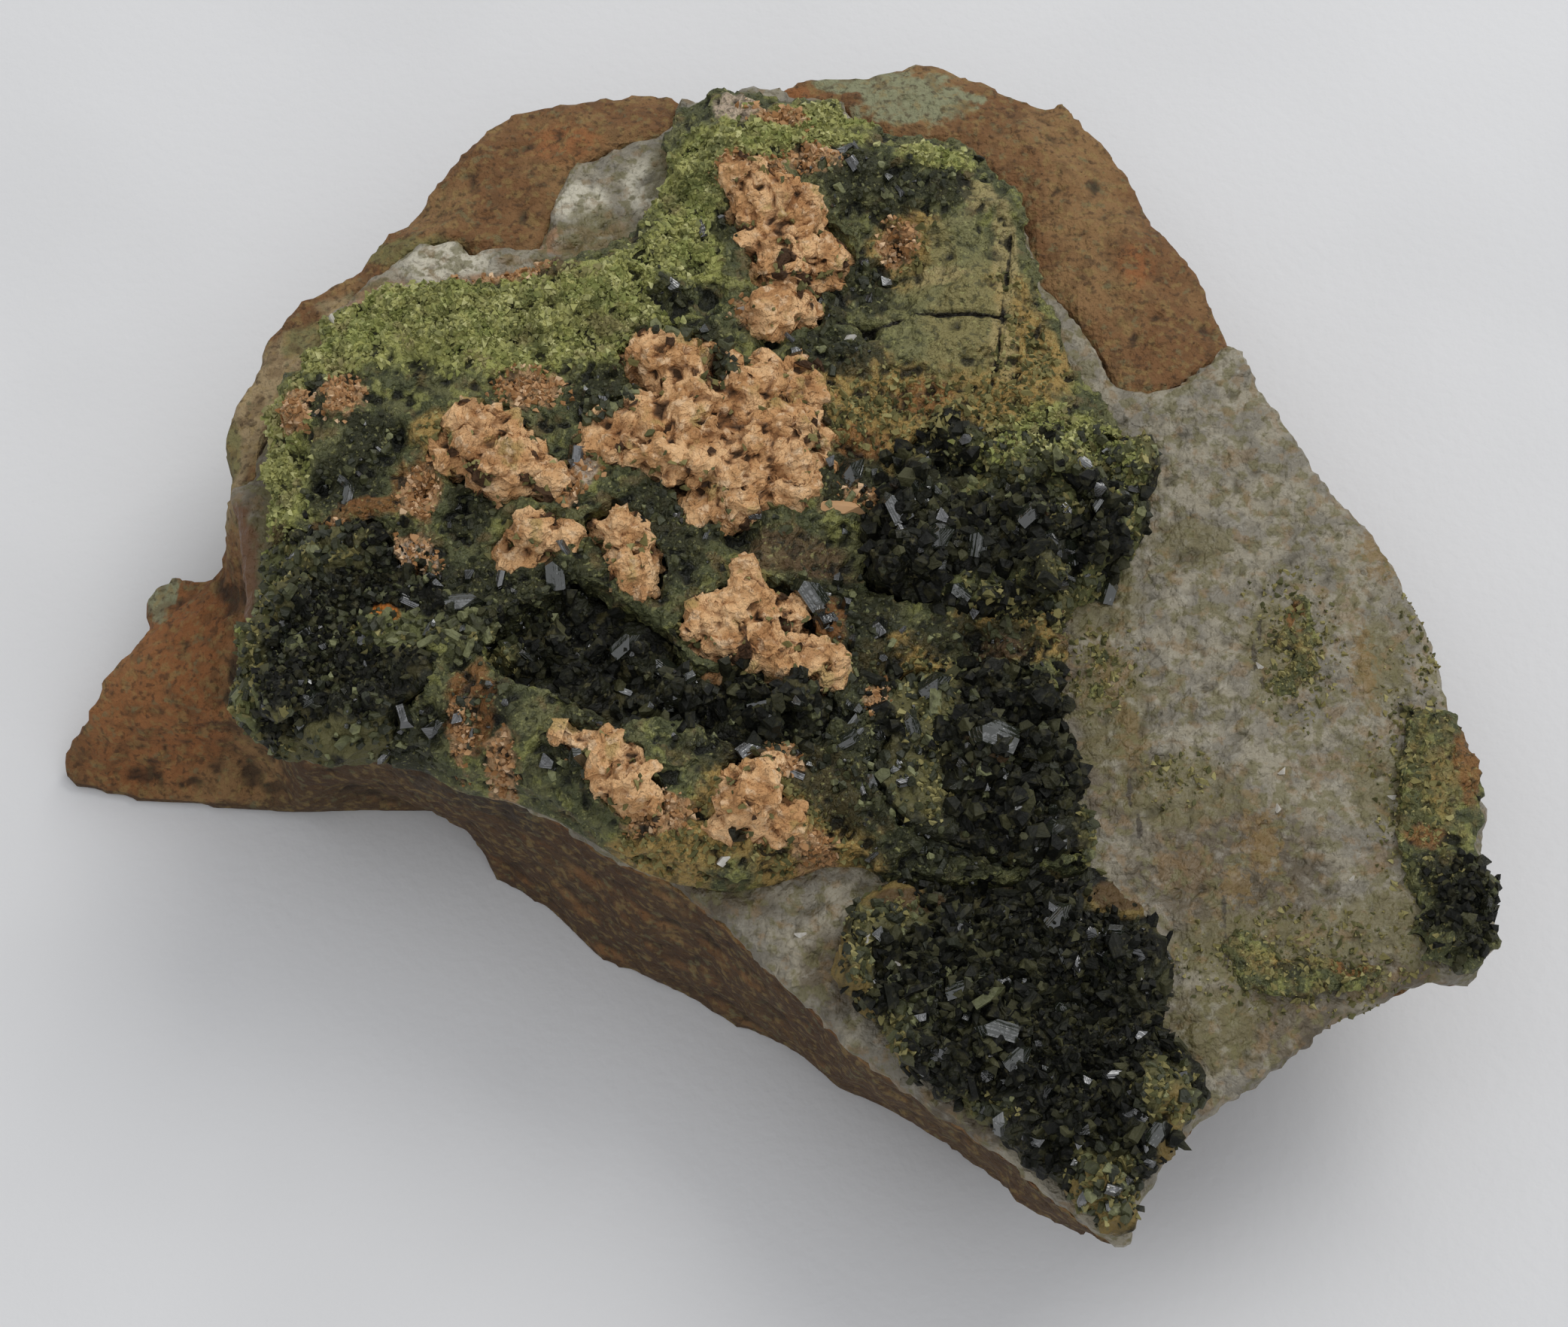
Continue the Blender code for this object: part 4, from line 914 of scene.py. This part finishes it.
# epidote crystals whose colour goes by the crystal: most are green-black, a few let light through
darkPrismStone = makeMineral("darkEpidotePrism", {
    "base": "0C0D07",
    "layers": [
        tint("1B1C13", (0.30, 0.60), 0.9),
        tint("48472E", (0.66, 0.84), 0.85),
        stain("1C1D16", 1.0, (0.91, 0.94), 0.9, "tone", ragged=0.02),
        stain("3D3B25", 0.8, (0.50, 0.66), 0.5, detail=3.0),
    ],
    "roughness": {"from": 0.91, "dull": 0.62, "glassy": 0.25},
    "ior": 1.75,
    "specular": 0.12,
    "bumps": [
        streaks((9.0, 0.5, 1.0), 0.08),
        bump(0.45, 0.20),
    ],
})
glassyPrismStone = makeMineral("glassyEpidotePrism", {
    "base": "0B0D0A",
    "layers": [
        tint("23271D", (0.30, 0.80), 0.9),
    ],
    "roughness": 0.14,
    "ior": 1.75,
    "specular": 0.9,
    "coat": 0.4,
    "bumps": [streaks((14.0, 0.4, 1.0), 0.10), bump(0.7, 0.12)],
})
greenPrismStone = makeMineral("greenEpidotePrism", {
    "base": "262918",
    "layers": [
        tint("454729", (0.20, 0.60), 0.9),
        tint("7A7C55", (0.78, 0.96), 0.9),
        stain("33321F", 0.8, (0.50, 0.66), 0.6, detail=3.0),
    ],
    "roughness": 0.6,
    "ior": 1.74,
    "specular": 0.25,
    "bumps": [
        streaks((7.0, 0.5, 1.0), 0.06),
        bump(0.4, 0.18),
    ],
})
mossStone = makeMineral("pistachioEpidoteGrain", {
    "base": "747545",
    "layers": [
        tint("9E9D5E", (0.15, 0.60), 0.9),
        tint("BBB982", (0.66, 0.98), 0.9),
        stain("7A8440", 2.4, (0.46, 0.60), 0.5, detail=3.0),
        stain("4A5029", 2.8, (0.54, 0.64), 0.6, detail=4.0),
        stain("8C7F58", 3.4, (0.56, 0.66), 0.6, detail=4.0),
    ],
    "roughness": 0.75,
    "ior": 1.74,
    "specular": 0.2,
    "bumps": [bump(0.3, 0.10, 1.0)],
})
oliveStone = makeMineral("weatheredEpidoteGrain", {
    "base": "4E4E2C",
    "layers": [
        tint("7C7344", (0.15, 0.60), 0.9),
        tint("9A9260", (0.66, 0.98), 0.9),
    ],
    "roughness": 0.8,
    "ior": 1.74,
    "specular": 0.2,
    "bumps": [bump(0.3, 0.10, 1.0)],
})
# white specks for the glints: painted highlights as glossy quartz chips
glintQuartz = makeMineral("glintQuartzSpeck", {
    "base": "D8D4CC",
    "layers": [stain("B8B2A6", 0.6, (0.40, 0.60), 0.6)],
    "roughness": 0.25,
    "ior": 1.54,
    "bumps": [],
})
tanStone = makeMineral("feldsparCrumb", {
    "base": "90683F",
    "layers": [
        tint("B58C62", (0.20, 0.55), 0.9),
        tint("D6B894", (0.75, 0.95), 0.9),
    ],
    "roughness": 0.85,
    "specular": 0.3,
    "bumps": [],
})

allBeds = [bpy.data.objects[name] for name in bedSettings["nodes"].values()]
crustAndBeds = [epidoteCrust] + allBeds
feldsparPieces = [bpy.data.objects[name] for name in feldsparSettings["nodes"].values()]
bedSpots = {
    "left": [(-35, -4, 6, 8), (-30, -2, 4, 6), (-34, 2, 5, 3)],
    "central": [(-16, -4.5, 6, 4), (-6, -8.5, 8, 3), (-1, -9.6, 4, 2.4)],
    "upperRight": [(12, 7, 6, 6), (19, 7, 7, 7), (23, 6, 4, 6)],
    "middle": [(12, -9, 5, 5), (17, -12, 7, 7), (20, -9, 4, 5)],
    "lower": [(15, -27, 10, 6), (14, -33, 7, 6), (22, -33, 6, 8), (22, -40, 5, 6), (9, -28, 4, 5)],
}
# small prisms; a width is a share of the length
prismSettings = {
    "leftPrisms": {"spots": bedSpots["left"], "count": 1250, "length": (0.3, 1.4), "width": (0.3, 0.65),
                   "lean": 0.55, "seed": 11},
    "centralPrisms": {"spots": bedSpots["central"], "count": 800, "length": (0.4, 2.0),
                      "width": (0.45, 0.8), "sink": 0.4, "seed": 12},
    "upperRightPrisms": {"spots": bedSpots["upperRight"], "count": 900, "seed": 13},
    "middlePrisms": {"spots": bedSpots["middle"], "count": 900, "seed": 14},
    "lowerPrisms": {"spots": bedSpots["lower"], "count": 2900, "width": (0.25, 0.6), "lean": 0.8,
                    "seed": 15, "few": 1.7},
    "crustPrisms": {"spots": crustSettings["darkSpots"], "count": 1700, "length": (0.3, 1.1),
                    "width": (0.5, 0.85), "lean": 0.6, "seed": 16, "few": 1.8},
    "cornerPrisms": {"spots": [(49.5, -23.5, 2.6, 3.8)], "count": 170, "length": (0.6, 1.7),
                     "width": (0.5, 0.8), "sink": 0.45, "seed": 17, "few": 1.6},
}
for name, settings in prismSettings.items():
    grounds = [bpy.data.objects["rightEdgeCrystals"]] if name == "cornerPrisms" else crustAndBeds
    stone = greenPrismStone if name == "crustPrisms" else darkPrismStone
    strew(name, slimPrism, grounds, stone, "epidote_crystals", {
        "length": (0.4, 2.2), "width": (0.45, 0.85), "lean": 0.5, "sink": 0.42, "few": 2.0,
        "above": 21.2, "fade": 1.6,
        "keepOff": bedSettings["greenSpots"] + bedSettings["rimSpots"] + bedSettings["orangeSpots"],
        **settings,
    })

# crystals that stand out, read from the photograph
chosenCrystals = {
    "glassyPrisms": [
        (-23.9, -1.3, 3.9, 1.4, 2, 8), (9.6, 9.6, 3.0, 2.2, 60, 50), (8.4, 7.2, 2.6, 1.9, 120, 30),
        (11.4, 4.4, 2.6, 2.0, 20, 40), (14.6, 4.8, 2.2, 1.6, 80, 35), (13.0, 1.2, 2.0, 1.5, 150, 30),
        (15.2, -11.3, 3.6, 2.4, 165, 25), (18.6, 6.6, 2.2, 1.6, 30, 40), (21.6, 4.8, 2.4, 1.7, 100, 35),
        (19.8, -25.0, 2.2, 1.4, 40, 40), (12.6, -30.4, 2.0, 1.3, 10, 30), (15.0, -33.6, 3.0, 1.6, 170, 20),
        (3.4, -31.6, 2.0, 1.2, 70, 30), (20.0, -31.5, 1.8, 1.2, 120, 40), (16.6, -35.6, 2.2, 1.3, 35, 30),
        (-17.0, 1.4, 2.6, 1.6, 95, 35), (-9.0, -5.4, 3.0, 1.7, 150, 25), (-11.6, -4.4, 2.4, 1.4, 30, 35),
        (-1.2, -8.4, 2.8, 1.9, 5, 20), (6.4, -14.6, 2.0, 1.3, 60, 35), (9.4, -9.8, 1.8, 1.2, 110, 40),
        (5.0, 10.6, 2.6, 2.0, 40, 45), (-34.6, -8.6, 1.6, 1.1, 20, 30), (-32.6, 7.8, 1.9, 0.9, 75, 30),
        (1.9, 0.6, 2.8, 2.0, 130, 30), (11.2, -6.6, 2.4, 1.7, 20, 40), (24.6, 3.0, 2.2, 1.6, 70, 40),
        (17.6, -15.4, 2.4, 1.6, 60, 35), (19.4, -18.0, 2.0, 1.4, 10, 35), (26.2, -41.0, 2.0, 1.3, 50, 30),
    ],
    "paleCrystals": [
        (11.2, -7.2, 3.4, 1.0, 88, 14, 0.9), (-26, -5, 1.7, 0.6, 20, 25, 0.92),
        (-24.4, -4.2, 1.9, 0.7, 160, 30, 0.9), (-23, -5.2, 1.6, 0.6, 60, 40, 0.97),
        (-22, -3.4, 1.8, 0.7, 110, 35, 0.95), (-25.4, -2.8, 1.5, 0.6, 45, 45, 0.97),
        (-27.5, -9.3, 2.2, 0.9, 90, 70, 0.97), (14.6, -31.2, 2.6, 0.8, 30, 15, 0.85),
        (20.6, 10.6, 2.0, 0.9, 100, 50, 0.9),
    ],
    "feldsparBar": [(4.5, 7.7, 3.4, 1.2, -8, 4, 0.8)],
}
topGrounds = crustAndBeds + [quartzSheet]
for name, stone in (("glassyPrisms", glassyPrismStone), ("paleCrystals", greenPrismStone)):
    setCrystals(name, slimPrism, topGrounds, stone, "epidote_crystals", chosenCrystals[name])
setCrystals("feldsparBar", slimPrism, [epidoteCrust], tanStone, "feldspar", chosenCrystals["feldsparBar"])
strew("glintPrisms", slimPrism, crustAndBeds, glassyPrismStone, "epidote_crystals", {
    "spots": sum(bedSpots.values(), []) + crustSettings["darkSpots"], "count": 700, "length": (0.4, 1.9),
    "width": (0.4, 0.8), "lean": 0.7, "seed": 20, "sink": 0.35, "few": 2.4, "above": 22.9,
})
strew("greenPrisms", slimPrism, crustAndBeds, greenPrismStone, "epidote_crystals", {
    "spots": bedSettings["greenSpots"] + bedSettings["rimSpots"] + [
        (-23.8, -3.8, 3.2, 2.4), (-34, -3, 5, 6), (18, 9, 7, 4), (14, -12, 6, 4), (10, -30, 5, 5),
    ],
    "count": 2300, "length": (0.3, 1.3), "width": (0.5, 0.9), "lean": 0.6, "seed": 21, "sink": 0.42,
    "above": 22.9,
})
# dark lumps of crystals that grew over the edge of the large feldspar patch
strew("lumpPrisms", slimPrism, feldsparPieces, greenPrismStone, "epidote_crystals", {
    "spots": [(-13.9, 15.9, 2.2, 2.2), (-8.2, 23.2, 2.6, 2.0), (-4.6, 19.2, 0.7, 1.6)], "count": 420,
    "length": (0.5, 1.5), "width": (0.5, 0.85), "lean": 0.6, "seed": 18, "sink": 0.4,
})

# white specks that stand for glints, painted highlights made as glossy quartz chips, as x, y, size
whiteSpecks = [
    (-3, 24.5, 1.0), (5, 22.5, 1.0), (-35.8, 24.2, 0.9), (-34.9, 23.8, 0.9), (35.7, -3.5, 0.6),
    (45, -14, 0.6), (37, -12, 0.7), (36.5, -15, 0.7), (32.8, -26.8, 0.7), (8, -28, 0.7), (-4.4, -20.4, 1.0),
    (6, -26.2, 0.7), (25.6, -29.4, 0.6), (21.2, -24.8, 0.9), (1.2, -24.8, 0.8), (41.6, -20.6, 0.5),
]
# grains
tanAndDark = crustSettings["tanSpots"] + crustSettings["darkSpots"]
strew("mossGrains", finePrism, crustAndBeds, mossStone, "epidote_crust", {
    "spots": crustSettings["mossSpots"] + [(20, 12.6, 6, 1.6), (25.8, 10.4, 1.4, 2.2), (-40.6, 0, 0.8, 5)],
    "count": 12000, "length": (0.2, 0.65), "width": (0.7, 1.15), "fade": 2.2,
    "lean": 0.6, "seed": 31, "sink": 0.38, "above": 22.9,
    "keepOff": tanAndDark,
})
strew("rimGrains", finePrism, feldsparPieces, oliveStone, "epidote_crust", {
    "walls": True, "count": 1600, "length": (0.3, 0.9), "width": (0.5, 1.0), "lean": 0.7, "seed": 34,
    "sink": 0.3, "few": 1.5,
})
strew("oliveCrumbs", finePrism, crustAndBeds, oliveStone, "epidote_crust", {
    "spots": crustSettings["oliveSpots"] + bedSettings["greenSpots"] + bedSettings["rimSpots"],
    "count": 4600, "length": (0.25, 0.85), "width": (0.5, 1.0),
    "lean": 0.6, "seed": 35, "sink": 0.42, "few": 1.8, "above": 22.9,
    "keepOff": tanAndDark + crustSettings["flatSpots"],
})
stripPieces = [bpy.data.objects[name] for name, slotName in stripSettings["nodes"].values()]
strew("oliveGrains", finePrism, [quartzSheet] + stripPieces, oliveStone, "epidote_crust", {
    "spots": [
        (38.5, -1.7, 3.2, 5.5), (24, -3.8, 2.4, 3.6), (37.5, -27, 8, 3.4), (46.5, -14, 2.6, 9),
        (42, -27.5, 5, 2.4), (29.5, -12.5, 2.6, 2), (48.5, -2, 1.6, 6),
    ],
    "count": 2400, "length": (0.2, 0.7), "width": (0.6, 1.0), "lean": 0.7, "seed": 33,
    "sink": 0.45, "few": 2.0, "above": 19.0,
})
strew("tanCrumbs", finePrism, [epidoteCrust], tanStone, "feldspar", {
    "spots": crustSettings["tanSpots"], "count": 3200, "length": (0.2, 0.6), "width": (0.7, 1.1),
    "lean": 0.8, "seed": 32, "sink": 0.2, "few": 1.4, "above": 22.9,
})
setCrystals("quartzSpecks", finePrism, topGrounds + [hostRock], glintQuartz, "quartz", [
    (x, y, size, 0.8 * size, 40 * index, 30, 1.0) for index, (x, y, size) in enumerate(whiteSpecks)
])
for shape in (slimPrism, finePrism):
    bpy.data.objects.remove(shape)

# paper, light and camera
print("stage")
stageSettings = {
    "paperSize": 3.0, "tooth": 0.9, "roomColour": "F0F2F6", "roomLight": 0.63, "lampTarget": (0, 0, 0.02),
}
bpy.ops.mesh.primitive_plane_add(size=stageSettings["paperSize"], location=(0, 0, 0))
paperSheet = bpy.context.object
paperSheet.name = "paperSheet"
# drawing paper: white, matt, with a fine tooth
drawingPaper = makeMineral("drawingPaper", {
    "base": "D6D6D6",
    "layers": [stain("CFCFCF", 30.0, (0.40, 0.70), 0.5)],
    "roughness": 0.9,
    "specular": 0.2,
    "bumps": [bump(stageSettings["tooth"], 0.05)],
})
paperSheet.data.materials.append(drawingPaper)

lightSettings = {
    "window": {"place": (0.36, 0.46, 0.70), "size": 0.50, "power": 3.1, "colour": "FFFEFC"},
    "ceiling": {"place": (0.12, -0.20, 1.00), "size": 1.20, "power": 3.0, "colour": "FAFBFF"},
}
for name, settings in lightSettings.items():
    lamp = bpy.data.lights.new(name, "AREA")
    lamp.shape = "SQUARE"
    lamp.size = settings["size"]
    lamp.energy = settings["power"]
    lamp.color = linearColour(settings["colour"])[:3]
    holder = bpy.data.objects.new(name, lamp)
    holder.location = settings["place"]
    aim = Vector(stageSettings["lampTarget"]) - Vector(settings["place"])
    holder.rotation_euler = aim.to_track_quat("-Z", "Y").to_euler()
    bpy.context.scene.collection.objects.link(holder)
room = bpy.data.worlds.new("room")
room.use_nodes = True
background = room.node_tree.nodes["Background"].inputs
background["Color"].default_value = linearColour(stageSettings["roomColour"])
background["Strength"].default_value = stageSettings["roomLight"]
bpy.context.scene.world = room
bpy.context.scene.view_settings.view_transform = "Standard"

cameraSettings = {
    "target": (0, -0.002, 0.020), "distance": 0.2812, "height": 65.0, "lens": 85.0, "sensor": 36.0,
    "clipStart": 0.01,
}
height = math.radians(cameraSettings["height"])
view = bpy.data.cameras.new("photoCamera")
view.lens = cameraSettings["lens"]
view.sensor_width = cameraSettings["sensor"]
view.clip_start = cameraSettings["clipStart"]
camera = bpy.data.objects.new("photoCamera", view)
away = Vector((0, -math.cos(height), math.sin(height))) * cameraSettings["distance"]
camera.location = Vector(cameraSettings["target"]) + away
camera.rotation_euler = (math.pi / 2 - height, 0, 0)
bpy.context.scene.collection.objects.link(camera)
bpy.context.scene.camera = camera
